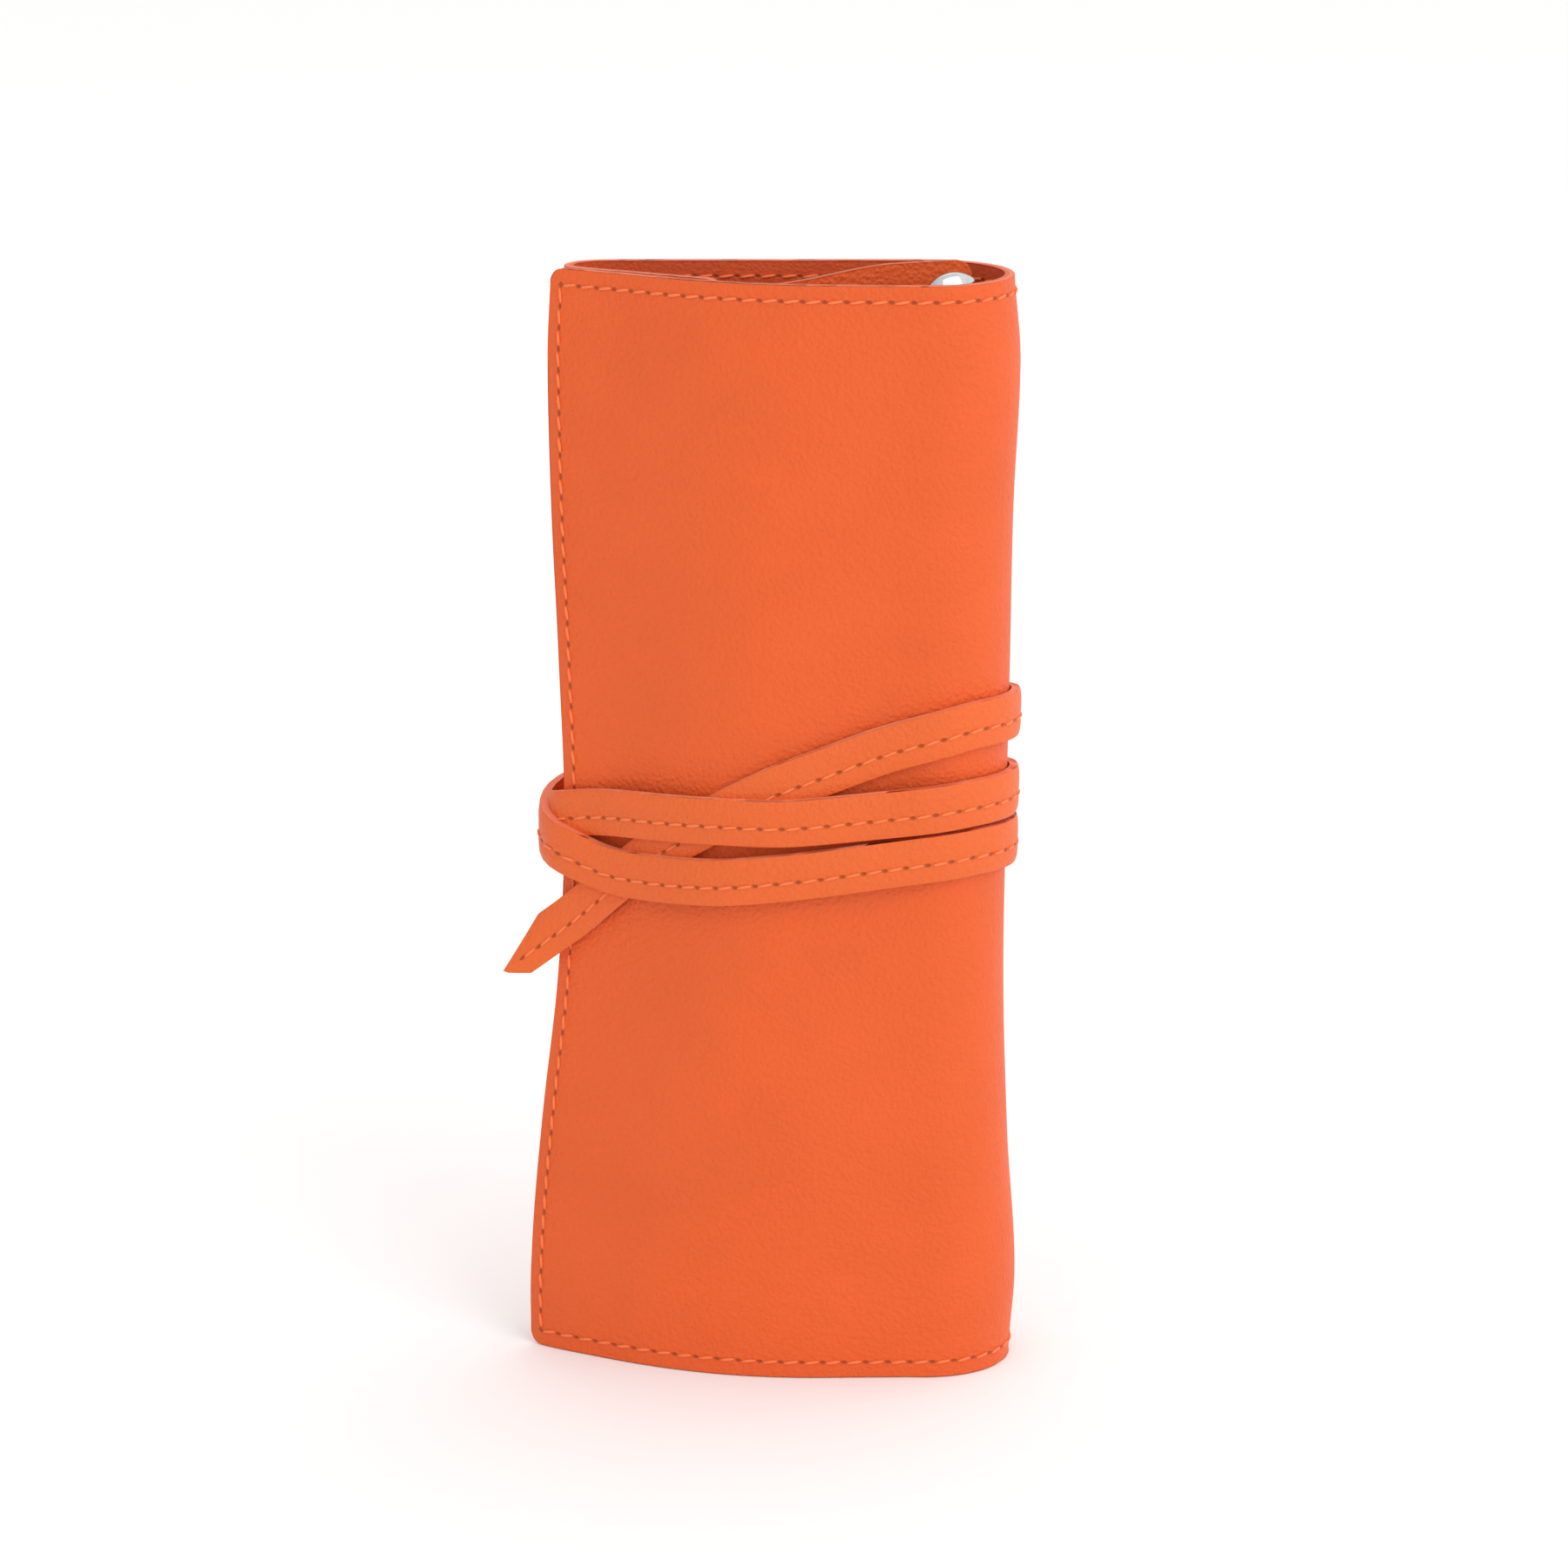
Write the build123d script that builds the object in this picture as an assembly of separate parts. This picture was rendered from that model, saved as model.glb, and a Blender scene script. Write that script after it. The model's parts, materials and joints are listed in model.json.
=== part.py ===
from build123d import *
import os
from math import atan2, cos, degrees, hypot, radians, sin, sqrt

# A brush roll of coated fabric, rolled up and standing on its end.
# Seen from above, the sheet is a flat-sided spiral: end margin, left bends, back panel,
# right bends, front flap and the flap's margin, which laps over the left bends.
# x runs to the right, y away from the flap, z up the roll. All sizes are in millimetres.
# The origin is on the bottom edge of the back panel's cover, halfway through it.

# ---- driving sizes ---------------------------------------------------------------------
ROLL_HEIGHT = 240.0
ROLL_DEPTH = 36.0            # over the covers of back panel and front flap
BACK_TO_RIGHT = 40.6         # from the origin to the back panel's right fold
BACK_TO_LEFT = 43.0          # from the origin to the back panel's left fold
FLAP_TO_MARGIN = 14.0        # from the origin to the fold between flap and margin
RIGHT_TURN = 60.0            # each of the three right folds, which make a half turn
MARGIN_TURN = 28.0           # the flap's margin leans back by this much

COVER = 1.2                  # outer sheet
LINING = 0.8                 # inner sheet
LAP_GAP = 1.0                # room between the flap and the turn inside it
SEAM_GAP = 0.1               # between neighbouring panels, along a fold
FLAP_MARGIN = 45.0           # what of the flap laps over the left side
END_MARGIN_TO_FOLD = 1.0     # the end margin stops this far short of the flap's margin fold
CORNER_RADIUS = 3.0

POCKET_RISE = 1.0            # hump of each empty pocket
POCKET_SHEET = 0.8
POCKET_SEAM = 1.5            # flat strip under each line of stitches
POCKET_FOOT = 6.0            # height of the pocket strips' lower edge
POCKET_TOP = 112.0
BACK_POCKETS = (-37.0, 26.0, 4)      # from, to, how many
FLAP_POCKETS = (-8.0, 37.0, 3)

GUARD_SHEET = 1.6            # the guard is one thick sheet with raw edges
GUARD_FOLD = 3.0             # the narrow strip between its two creases
GUARD_LIFT_GAP = 0.3         # the fold stands this far off the end margin's lining
GUARD_FOOT = 1.5             # its lower edge, above the roll's
GUARD_RISE = 1.8             # its top edge, above the roll's
GUARD_CORNER = 3.5
GUARD_TO_BEND = 1.4          # its free edge stops this far short of the right fold
GUARD_STAND_OFF = 8.0        # its free edge, in front of the back panel's lining

CAP_RADIUS = 7.2
CAP_RIM = 0.6
CAP_HEIGHT = 2.2
CAP_FROM_EDGE = 4.2          # cap's centre to the guard's free edge
CAP_FROM_TOP = 9.5           # cap's centre to the guard's top and bottom edges
SHANK_RADIUS = 1.9
SOCKET_RADIUS = 5.6
SOCKET_BASE = 0.4
SOCKET_HEIGHT = 1.8
STUD_RADIUS = 2.5
STUD_NECK = 2.1
STUD_HEIGHT = 2.2
STUD_FLANGE_RADIUS = 3.8
STUD_FLANGE = 0.5
POST_HEAD_RADIUS = 4.4
POST_HEAD = 0.7
POST_RADIUS = 1.4
SHANK_CLEARANCE = 0.05

STRAP_WIDTH = 10.0
STRAP = 1.8
STRAP_GAP = 0.3              # under the strap, and between its two layers
STRAP_WAIST = 120.0          # height of the middle turn
STRAP_OFF_EDGE = 4.0         # the strap turns this far beyond the flap's edge
TAIL_CUT = 3.3               # slant of the strap's cut end
RIVET_HEAD_RADIUS = 3.0
RIVET_HEAD = 0.8
RIVET_WASHER = 0.5
RIVET_RADIUS = 1.2
RIVET_PLACES = (5.0, 13.0)   # from the strap's sewn end

# ---- the sheet in plan -----------------------------------------------------------------
SHEET = COVER + LINING
OUTSIDE = COVER / 2                          # y of the back panel's outer face
LAP = SHEET + LAP_GAP                        # from the flap's outer face to the next turn's
RIGHT_LINK = ROLL_DEPTH / (2 * sin(radians(RIGHT_TURN)))      # the right bend has two links
LEFT_TURN = (180 - MARGIN_TURN) / 3          # the left bend ends parallel to the flap's margin


def step(start, angle, length):
    """The point a length away from start, at an angle from +x."""
    return (start[0] + length * cos(radians(angle)), start[1] + length * sin(radians(angle)))


RIGHT_FOLD_1 = (BACK_TO_RIGHT, OUTSIDE)
RIGHT_FOLD_2 = step(RIGHT_FOLD_1, -RIGHT_TURN, RIGHT_LINK)
RIGHT_FOLD_3 = step(RIGHT_FOLD_2, -2 * RIGHT_TURN, RIGHT_LINK)
MARGIN_FOLD = (-FLAP_TO_MARGIN, OUTSIDE - ROLL_DEPTH)
FLAP_EDGE = step(MARGIN_FOLD, 180 - MARGIN_TURN, FLAP_MARGIN)
LEFT_FOLD_1 = (-BACK_TO_LEFT, OUTSIDE)


def across_margin(point):
    """How far a plan point is inside the flap margin's outer face."""
    dx, dy = point[0] - MARGIN_FOLD[0], point[1] - MARGIN_FOLD[1]
    return dx * sin(radians(MARGIN_TURN)) + dy * cos(radians(MARGIN_TURN))


# the left bend's two links are as long as brings its last fold inside the flap's margin
UNIT_BEND = step(step(LEFT_FOLD_1, 180 + LEFT_TURN, 1), 180 + 2 * LEFT_TURN, 1)
LEFT_LINK = (LAP - across_margin(LEFT_FOLD_1)) / (
    across_margin(UNIT_BEND) - across_margin(LEFT_FOLD_1)
)
LEFT_FOLD_2 = step(LEFT_FOLD_1, 180 + LEFT_TURN, LEFT_LINK)
LEFT_FOLD_3 = step(LEFT_FOLD_2, 180 + 2 * LEFT_TURN, LEFT_LINK)
END_MARGIN = (MARGIN_FOLD[0] - END_MARGIN_TO_FOLD - LEFT_FOLD_3[0]) / cos(radians(MARGIN_TURN))
END_EDGE = step(LEFT_FOLD_3, -MARGIN_TURN, END_MARGIN)

# the outer face from one end of the sheet to the other, with the lining on its right
OUTER_FACE = [
    END_EDGE, LEFT_FOLD_3, LEFT_FOLD_2, LEFT_FOLD_1,
    RIGHT_FOLD_1, RIGHT_FOLD_2, RIGHT_FOLD_3, MARGIN_FOLD, FLAP_EDGE,
]
PANELS = [
    "end_margin", "left_bend_2", "left_bend_1", "back",
    "right_bend_1", "right_bend_2", "flap", "flap_margin",
]


def right_of(start, end):
    """The unit vector to the right of a walk from start to end."""
    length = hypot(end[0] - start[0], end[1] - start[1])
    return ((end[1] - start[1]) / length, (start[0] - end[0]) / length)


def offset(points, depth):
    """A line of points moved to its right by depth, with mitred corners."""
    moved = []
    for i, point in enumerate(points):
        sides = [
            right_of(points[k], points[k + 1])
            for k in (i - 1, i)
            if 0 <= k < len(points) - 1
        ]
        ax, ay = sides[0]
        bx, by = sides[-1]
        reach = depth / (1 + ax * bx + ay * by)
        moved.append((point[0] + reach * (ax + bx), point[1] + reach * (ay + by)))
    return moved


def prism(outline, low, high):
    """An upright solid on a plan outline of (x, y) points."""
    base = make_face(Polyline(*[(x, y, low) for x, y in outline], close=True))
    return extrude(base, amount=high - low, dir=(0, 0, 1))


def shorten(start, end, gap):
    """A line with a gap taken off both its ends."""
    share = gap / hypot(end[0] - start[0], end[1] - start[1])
    dx, dy = share * (end[0] - start[0]), share * (end[1] - start[1])
    return (start[0] + dx, start[1] + dy), (end[0] - dx, end[1] - dy)


def panel(number, near, far):
    """One flat panel of the sheet, between two depths below its outer face."""
    outer = offset(OUTER_FACE, near)[number:number + 2]
    inner = offset(OUTER_FACE, far)[number:number + 2]
    a, b = shorten(*outer, SEAM_GAP / 2)
    c, d = shorten(*inner, SEAM_GAP / 2)
    return prism([a, b, d, c], 0, ROLL_HEIGHT)


def round_corners(body, edge, reach, radius):
    """Round the top and bottom corners of a panel at its free edge."""
    corners = [
        e for e in body.edges()
        if abs(e.tangent_at(0.5).Z) < 0.1
        and hypot(e.center().X - edge[0], e.center().Y - edge[1]) < reach
    ]
    return fillet(corners, radius)


parts = {}
for number, name in enumerate(PANELS):
    parts[name + "_cover"] = panel(number, 0, COVER)
    parts[name + "_lining"] = panel(number, COVER, SHEET)
for name, edge in (("flap_margin", FLAP_EDGE), ("end_margin", END_EDGE)):
    for layer in ("_cover", "_lining"):
        parts[name + layer] = round_corners(parts[name + layer], edge, SHEET, CORNER_RADIUS)


# ---- pocket strips ---------------------------------------------------------------------
def pocket_strip(start, along, away, length, count):
    """A strip sewn to the lining, with a shallow hump for each pocket.

    start is a plan point on the lining, along and away are unit vectors: along the
    panel, and off its lining.
    """
    def at(u, v):
        return (
            start[0] + u * along[0] + v * away[0],
            start[1] + u * along[1] + v * away[1],
            POCKET_FOOT,
        )

    def side(height):
        """The strip's face at a height above the lining's seams, as lines and arcs."""
        pieces = [Line(at(0, height), at(POCKET_SEAM, height))]
        pitch = (length - POCKET_SEAM) / count
        for k in range(count):
            left = k * pitch + POCKET_SEAM
            right = (k + 1) * pitch
            middle = at((left + right) / 2, height + POCKET_RISE)
            pieces.append(ThreePointArc(at(left, height), middle, at(right, height)))
            pieces.append(Line(at(right, height), at(right + POCKET_SEAM, height)))
        return pieces

    edges = side(0) + side(POCKET_SHEET)
    edges += [Line(at(u, 0), at(u, POCKET_SHEET)) for u in (0, length)]
    base = make_face(edges)
    return extrude(base, amount=POCKET_TOP - POCKET_FOOT, dir=(0, 0, 1))


BACK_LINING_Y = OUTSIDE - SHEET
FLAP_LINING_Y = OUTSIDE - ROLL_DEPTH + SHEET
for name, y, away, (low, high, count) in (
    ("back_pocket_strip", BACK_LINING_Y, -1, BACK_POCKETS),
    ("flap_pocket_strip", FLAP_LINING_Y, 1, FLAP_POCKETS),
):
    parts[name] = pocket_strip((low, y), (1, 0), (0, away), high - low, count)

# ---- guard: a loose leaf over the brushes, creased twice where it meets the end margin --
GUARD_CREASE = step(
    step(END_EDGE, -MARGIN_TURN, GUARD_LIFT_GAP), 90 - MARGIN_TURN, SHEET + GUARD_LIFT_GAP
)
GUARD_EDGE = (BACK_TO_RIGHT - GUARD_TO_BEND, BACK_LINING_Y - GUARD_STAND_OFF)
GUARD_SPAN = hypot(GUARD_EDGE[0] - GUARD_CREASE[0], GUARD_EDGE[1] - GUARD_CREASE[1])
GUARD_ANGLE = degrees(atan2(GUARD_EDGE[1] - GUARD_CREASE[1], GUARD_EDGE[0] - GUARD_CREASE[0]))
GUARD_FRONT = right_of(GUARD_CREASE, GUARD_EDGE)     # towards the flap
GUARD_TOP = ROLL_HEIGHT + GUARD_RISE


def guard_piece(start, end):
    """A stretch of the guard between two distances from its first crease."""
    back = [step(GUARD_CREASE, GUARD_ANGLE, s) for s in (start, end)]
    front = offset(back, GUARD_SHEET)
    return prism([back[0], back[1], front[1], front[0]], GUARD_FOOT, GUARD_TOP)


LIFT_CREASE = step(GUARD_CREASE, GUARD_ANGLE, GUARD_FOLD + SEAM_GAP)
parts["guard_hinge_strip"] = guard_piece(SEAM_GAP / 2, GUARD_FOLD + SEAM_GAP / 2)
guard_leaf = guard_piece(GUARD_FOLD + 3 * SEAM_GAP / 2, GUARD_SPAN)
guard_leaf = round_corners(guard_leaf, GUARD_EDGE, 1.2 * GUARD_SHEET, GUARD_CORNER)


# ---- snap fasteners --------------------------------------------------------------------
def turned(outline):
    """A round piece turned about z from (radius, height) points."""
    section = Polyline(*[(r, 0, h) for r, h in outline], close=True)
    return revolve(make_face(section), axis=Axis.Z)


def domed_cap():
    """A snap's cap: a shallow dome on a short rim, with the shank that holds the socket."""
    rise = CAP_HEIGHT - CAP_RIM
    dome_radius = (CAP_RADIUS ** 2 + rise ** 2) / (2 * rise)
    half_way = CAP_RADIUS / 2
    half_height = CAP_HEIGHT - dome_radius + sqrt(dome_radius ** 2 - half_way ** 2)
    rim = (CAP_RADIUS, 0, CAP_RIM)
    top = (0, 0, CAP_HEIGHT)
    foot = -GUARD_SHEET - SOCKET_BASE
    corners = [
        top, (0, 0, foot), (SHANK_RADIUS, 0, foot), (SHANK_RADIUS, 0, 0), (CAP_RADIUS, 0, 0), rim,
    ]
    dome = ThreePointArc(rim, (half_way, 0, half_height), top)
    return revolve(make_face([Polyline(*corners), dome]), axis=Axis.Z)


cap = domed_cap()
socket = turned([
    (SHANK_RADIUS + SHANK_CLEARANCE, 0), (SOCKET_RADIUS, 0),
    (SOCKET_RADIUS, SOCKET_HEIGHT - 0.5), (SOCKET_RADIUS - 0.8, SOCKET_HEIGHT),
    (STUD_RADIUS + 0.2, SOCKET_HEIGHT), (STUD_RADIUS + 0.2, SOCKET_BASE),
    (SHANK_RADIUS + SHANK_CLEARANCE, SOCKET_BASE),
])
stud = turned([
    (POST_RADIUS + SHANK_CLEARANCE, 0), (STUD_FLANGE_RADIUS, 0),
    (STUD_FLANGE_RADIUS, STUD_FLANGE), (STUD_NECK, STUD_FLANGE),
    (STUD_NECK, STUD_HEIGHT - 1.0), (STUD_RADIUS, STUD_HEIGHT - 0.6),
    (STUD_NECK, STUD_HEIGHT), (POST_RADIUS + SHANK_CLEARANCE, STUD_HEIGHT),
])
post = turned([
    (0, -SHEET - STUD_FLANGE), (POST_RADIUS, -SHEET - STUD_FLANGE), (POST_RADIUS, 0),
    (POST_HEAD_RADIUS, 0), (POST_HEAD_RADIUS - 0.5, POST_HEAD), (0, POST_HEAD),
])

CAP_PLACE = step(GUARD_CREASE, GUARD_ANGLE, GUARD_SPAN - CAP_FROM_EDGE)
CAP_FRONT = (
    CAP_PLACE[0] + GUARD_SHEET * GUARD_FRONT[0],
    CAP_PLACE[1] + GUARD_SHEET * GUARD_FRONT[1],
)
SNAP_HEIGHTS = (GUARD_FOOT + CAP_FROM_TOP, GUARD_TOP - CAP_FROM_TOP)


def placed(shape, place, height, direction):
    """A turned piece with its foot at a plan point and its axis along a plan direction."""
    return Plane(origin=(*place, height), z_dir=(*direction, 0)) * shape


def each_height(shape, place, direction):
    """The same turned piece at both snaps, as one group of separate solids."""
    return Compound(children=[placed(shape, place, z, direction) for z in SNAP_HEIGHTS])


GUARD_BACK = (-GUARD_FRONT[0], -GUARD_FRONT[1])
parts["snap_caps"] = each_height(cap, CAP_FRONT, GUARD_FRONT)
parts["snap_sockets"] = each_height(socket, CAP_PLACE, GUARD_BACK)
parts["snap_studs"] = each_height(stud, (CAP_PLACE[0], BACK_LINING_Y), (0, -1))
parts["snap_posts"] = each_height(post, (CAP_PLACE[0], OUTSIDE), (0, 1))

for z in SNAP_HEIGHTS:
    shank_hole = Cylinder(SHANK_RADIUS + 2 * SHANK_CLEARANCE, 4 * GUARD_SHEET)
    guard_leaf -= placed(shank_hole, CAP_PLACE, z, GUARD_FRONT)
    post_hole = placed(
        Cylinder(POST_RADIUS + 2 * SHANK_CLEARANCE, 4 * SHEET), (CAP_PLACE[0], 0), z, (0, 1)
    )
    parts["back_cover"] -= post_hole
    parts["back_lining"] -= post_hole
parts["guard_leaf"] = guard_leaf

# ---- strap: riveted to the back, three turns round the waist, its tail tucked under ------
# The strap lies on the corners of the rolled sheet, and stands off beyond the flap's edge.
LEFT_CORNER = step(FLAP_EDGE, 180 - MARGIN_TURN, STRAP_OFF_EDGE)
WAIST_CORNERS = [
    RIGHT_FOLD_1, RIGHT_FOLD_2, RIGHT_FOLD_3, MARGIN_FOLD, LEFT_CORNER, LEFT_FOLD_1,
]
LOW_LAYER = STRAP_GAP
HIGH_LAYER = 2 * STRAP_GAP + STRAP
BACK_SIDE = 5
FRONT_SIDE = 2
MARGIN_SIDE = 3

# each row is a corner, the distance past it, the height above the waist, and the layer
STRAP_START = 59.0
STRAP_ROUTE = [
    (BACK_SIDE, STRAP_START, 5.7, LOW_LAYER), (0, 0, 5.0, LOW_LAYER), (1, 0, 4.0, LOW_LAYER),
    (FRONT_SIDE, 0, 3.0, LOW_LAYER), (FRONT_SIDE, 12.6, 2.4, HIGH_LAYER),
    (FRONT_SIDE, 40.6, 0.8, HIGH_LAYER), (MARGIN_SIDE, 0, 0.7, HIGH_LAYER),
    (MARGIN_SIDE, 26.0, 1.0, HIGH_LAYER), (MARGIN_SIDE, 35.0, 1.0, LOW_LAYER),
    (4, 0, -0.5, LOW_LAYER), (BACK_SIDE, 0, -2.0, LOW_LAYER),
    (0, 0, -6.0, LOW_LAYER), (1, 0, -6.9, LOW_LAYER), (FRONT_SIDE, 0, -8.6, LOW_LAYER),
    (FRONT_SIDE, 32.0, -11.0, HIGH_LAYER), (MARGIN_SIDE, 0, -11.0, HIGH_LAYER),
    (MARGIN_SIDE, 30.0, -10.4, HIGH_LAYER), (4, 0, -4.5, HIGH_LAYER),
    (BACK_SIDE, 0, 5.0, HIGH_LAYER),
    (BACK_SIDE, 63.0, 15.8, HIGH_LAYER), (BACK_SIDE, 79.0, 18.7, LOW_LAYER),
    (0, 0, 19.5, LOW_LAYER), (1, 0, 22.0, LOW_LAYER), (FRONT_SIDE, 0, 19.5, LOW_LAYER),
    (FRONT_SIDE, 19.6, 15.6, LOW_LAYER), (FRONT_SIDE, 40.6, 8.8, LOW_LAYER),
    (MARGIN_SIDE, 0, 2.7, LOW_LAYER), (MARGIN_SIDE, 22.0, -10.4, LOW_LAYER),
]
TAIL_ROUTE = [
    (MARGIN_SIDE, 22.2, -10.5, LOW_LAYER), (MARGIN_SIDE, 32.0, -17.4, LOW_LAYER),
    (MARGIN_SIDE, 41.0, -22.5, LOW_LAYER),
]
TAIL_END = (-60.4, -15.5, -29.8)     # x, y and height above the waist


def on_waist(corner, past, layer):
    """A plan point on the strap's inner face, some way past a corner of the waist."""
    count = len(WAIST_CORNERS)
    before, here, after, last = (WAIST_CORNERS[(corner + k) % count] for k in (-1, 0, 1, 2))
    start, end = offset([before, here, after, last], -layer)[1:3]
    if past == 0:
        return start
    plain = hypot(after[0] - here[0], after[1] - here[1])
    return (
        start[0] + (end[0] - start[0]) * past / plain,
        start[1] + (end[1] - start[1]) * past / plain,
    )


def ribbon(points, cut=0.0):
    """A flat strap along (x, y, z) points on its inner face, thickened to its left.

    Each straight run is a solid of its own between two sections, and the runs are joined.
    """
    plan = [(x, y) for x, y, z in points]
    outer = offset(plan, -STRAP)
    sections = []
    for i, (x, y, z) in enumerate(points):
        ends = points[max(i - 1, 0)], points[min(i + 1, len(points) - 1)]
        run = hypot(ends[1][0] - ends[0][0], ends[1][1] - ends[0][1])
        rise = (ends[1][2] - ends[0][2]) / run
        half = STRAP_WIDTH / 2 * sqrt(1 + rise ** 2)
        back = cut / run if i == len(points) - 1 else 0
        dx, dy = back * (ends[1][0] - ends[0][0]), back * (ends[1][1] - ends[0][1])
        sections.append(Wire.make_polygon([
            (x, y, z - half), (*outer[i], z - half),
            (outer[i][0] - dx, outer[i][1] - dy, z + half), (x - dx, y - dy, z + half),
        ]))
    runs = [Solid.make_loft([a, b], ruled=True) for a, b in zip(sections, sections[1:])]
    return runs[0].fuse(*runs[1:])


def route_point(row):
    """A row of the strap's route as an (x, y, z) point."""
    corner, past, height, layer = row
    return (*on_waist(corner, past, layer), STRAP_WAIST + height)


strap = ribbon([route_point(row) for row in STRAP_ROUTE])
rivet = turned([
    (0, -SHEET - LOW_LAYER - STRAP - RIVET_WASHER),
    (RIVET_HEAD_RADIUS, -SHEET - LOW_LAYER - STRAP - RIVET_WASHER),
    (RIVET_HEAD_RADIUS, -SHEET - LOW_LAYER - STRAP), (RIVET_RADIUS, -SHEET - LOW_LAYER - STRAP),
    (RIVET_RADIUS, 0), (RIVET_HEAD_RADIUS, 0), (RIVET_HEAD_RADIUS - 0.6, RIVET_HEAD),
    (0, RIVET_HEAD),
])
strap_start = route_point(STRAP_ROUTE[0])
rivets = []
for distance in RIVET_PLACES:
    place = (strap_start[0] + distance, OUTSIDE + LOW_LAYER + STRAP)
    rivet_height = strap_start[2]
    rivets.append(placed(rivet, place, rivet_height, (0, 1)))
    hole = placed(
        Cylinder(RIVET_RADIUS + 2 * SHANK_CLEARANCE, 4 * (SHEET + STRAP)),
        place, rivet_height, (0, 1),
    )
    strap -= hole
    parts["back_cover"] -= hole
    parts["back_lining"] -= hole
parts["wrap_strap"] = strap
parts["strap_rivets"] = Compound(children=rivets)
parts["strap_tail"] = ribbon(
    [route_point(row) for row in TAIL_ROUTE]
    + [(TAIL_END[0], TAIL_END[1], STRAP_WAIST + TAIL_END[2])],
    cut=TAIL_CUT,
)

# ---- files -----------------------------------------------------------------------------
os.makedirs("parts", exist_ok=True)
for name, shape in parts.items():
    export_step(shape, "parts/" + name + ".step")
print(len(parts), "nodes; guard angle", round(GUARD_ANGLE, 2), "length", round(GUARD_SPAN, 1))
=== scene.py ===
# %% [markdown]
# # A brush roll in orange coated leather
# The roll is one bonded sheet, rolled up on its end and held by a strap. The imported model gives
# its bodies, hinges and sizes. This file puts the visible sheet, strap, threads and snaps round
# them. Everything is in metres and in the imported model's own frame.

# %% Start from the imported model
import json
import math
import bmesh
import bpy
import numpy as np
from mathutils import Matrix, Vector

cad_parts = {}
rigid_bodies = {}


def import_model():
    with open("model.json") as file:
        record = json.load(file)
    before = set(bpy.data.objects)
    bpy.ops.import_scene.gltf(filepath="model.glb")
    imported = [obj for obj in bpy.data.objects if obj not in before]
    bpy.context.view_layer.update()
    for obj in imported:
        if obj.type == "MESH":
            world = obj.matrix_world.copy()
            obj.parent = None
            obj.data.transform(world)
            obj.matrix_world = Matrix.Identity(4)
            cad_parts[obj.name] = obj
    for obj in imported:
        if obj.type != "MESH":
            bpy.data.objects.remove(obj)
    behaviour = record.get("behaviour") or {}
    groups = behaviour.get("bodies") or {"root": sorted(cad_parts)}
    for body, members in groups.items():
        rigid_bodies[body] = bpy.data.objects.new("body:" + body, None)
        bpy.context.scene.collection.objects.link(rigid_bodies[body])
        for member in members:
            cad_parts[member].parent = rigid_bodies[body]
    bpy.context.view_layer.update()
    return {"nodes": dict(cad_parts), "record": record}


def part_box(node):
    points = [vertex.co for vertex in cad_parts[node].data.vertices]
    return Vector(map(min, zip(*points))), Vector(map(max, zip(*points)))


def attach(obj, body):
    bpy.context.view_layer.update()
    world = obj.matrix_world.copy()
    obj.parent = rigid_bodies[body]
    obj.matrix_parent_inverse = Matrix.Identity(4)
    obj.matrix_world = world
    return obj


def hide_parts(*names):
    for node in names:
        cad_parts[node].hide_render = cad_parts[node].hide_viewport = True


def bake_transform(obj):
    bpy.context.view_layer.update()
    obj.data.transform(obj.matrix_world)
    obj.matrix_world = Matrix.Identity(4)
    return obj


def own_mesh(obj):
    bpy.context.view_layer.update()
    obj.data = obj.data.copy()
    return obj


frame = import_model()
MM = 0.001
joints = {j["name"]: j for j in frame["record"]["behaviour"]["joints"]}

# %% [markdown]
# ## Camera
# The camera comes first, because it decides how large every detail is in the picture. It looks
# down at the roll by fifteen degrees from straight in front, with a long lens, so that the sides
# stay nearly upright. It has no shift and no depth of field, so other views can reuse it.

# %% Camera
ROLL_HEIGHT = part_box("back_cover")[1][2]
VIEW_DISTANCE = 1.2
VIEW_ANGLE = math.radians(14.5)
FRAME_HEIGHT = 0.3377               # what the picture spans at the aim point
AIM = Vector((0.0, -0.018, 0.129))

camera_data = bpy.data.cameras.new("camera")
camera_data.sensor_width = 36.0
camera_data.lens = camera_data.sensor_width * VIEW_DISTANCE / FRAME_HEIGHT
camera_data.clip_start = 0.05
camera_data.clip_end = 60.0
camera = bpy.data.objects.new("camera", camera_data)
bpy.context.scene.collection.objects.link(camera)
towards = Vector((0.0, -math.cos(VIEW_ANGLE), math.sin(VIEW_ANGLE)))
camera.location = AIM + VIEW_DISTANCE * towards
camera.rotation_euler = (-towards).to_track_quat("-Z", "Y").to_euler()
bpy.context.scene.camera = camera
print("lens", round(camera_data.lens, 1), "mm")

# %% [markdown]
# ## Floor and light
# A wide pale floor runs out of the picture on every side, so no horizon shows. Large area lights
# give soft shadows: one from the front right that models the roll, one broad fill from the left
# and one above that lights the open end.

# %% Floor and light
FLOOR_SIZE = 24.0
bm = bmesh.new()
bmesh.ops.create_grid(bm, x_segments=1, y_segments=1, size=FLOOR_SIZE / 2)
floor_mesh = bpy.data.meshes.new("floor")
bm.to_mesh(floor_mesh)
bm.free()
floor = bpy.data.objects.new("floor", floor_mesh)
floor.location.z = -0.0002
bpy.context.scene.collection.objects.link(floor)


def area_light(name, place, size, power):
    """A square soft light that faces the middle of the roll."""
    data = bpy.data.lights.new(name, "AREA")
    data.size = size
    data.energy = power
    light = bpy.data.objects.new(name, data)
    light.location = place
    light.rotation_euler = (AIM - Vector(place)).to_track_quat("-Z", "Y").to_euler()
    bpy.context.scene.collection.objects.link(light)
    return light


area_light("key", (1.3, -1.9, 1.5), 1.4, 12.0)
area_light("fill", (-1.7, -1.6, 1.1), 1.8, 1.5)
area_light("top", (0.1, 0.2, 2.4), 1.8, 4.0)

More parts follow.
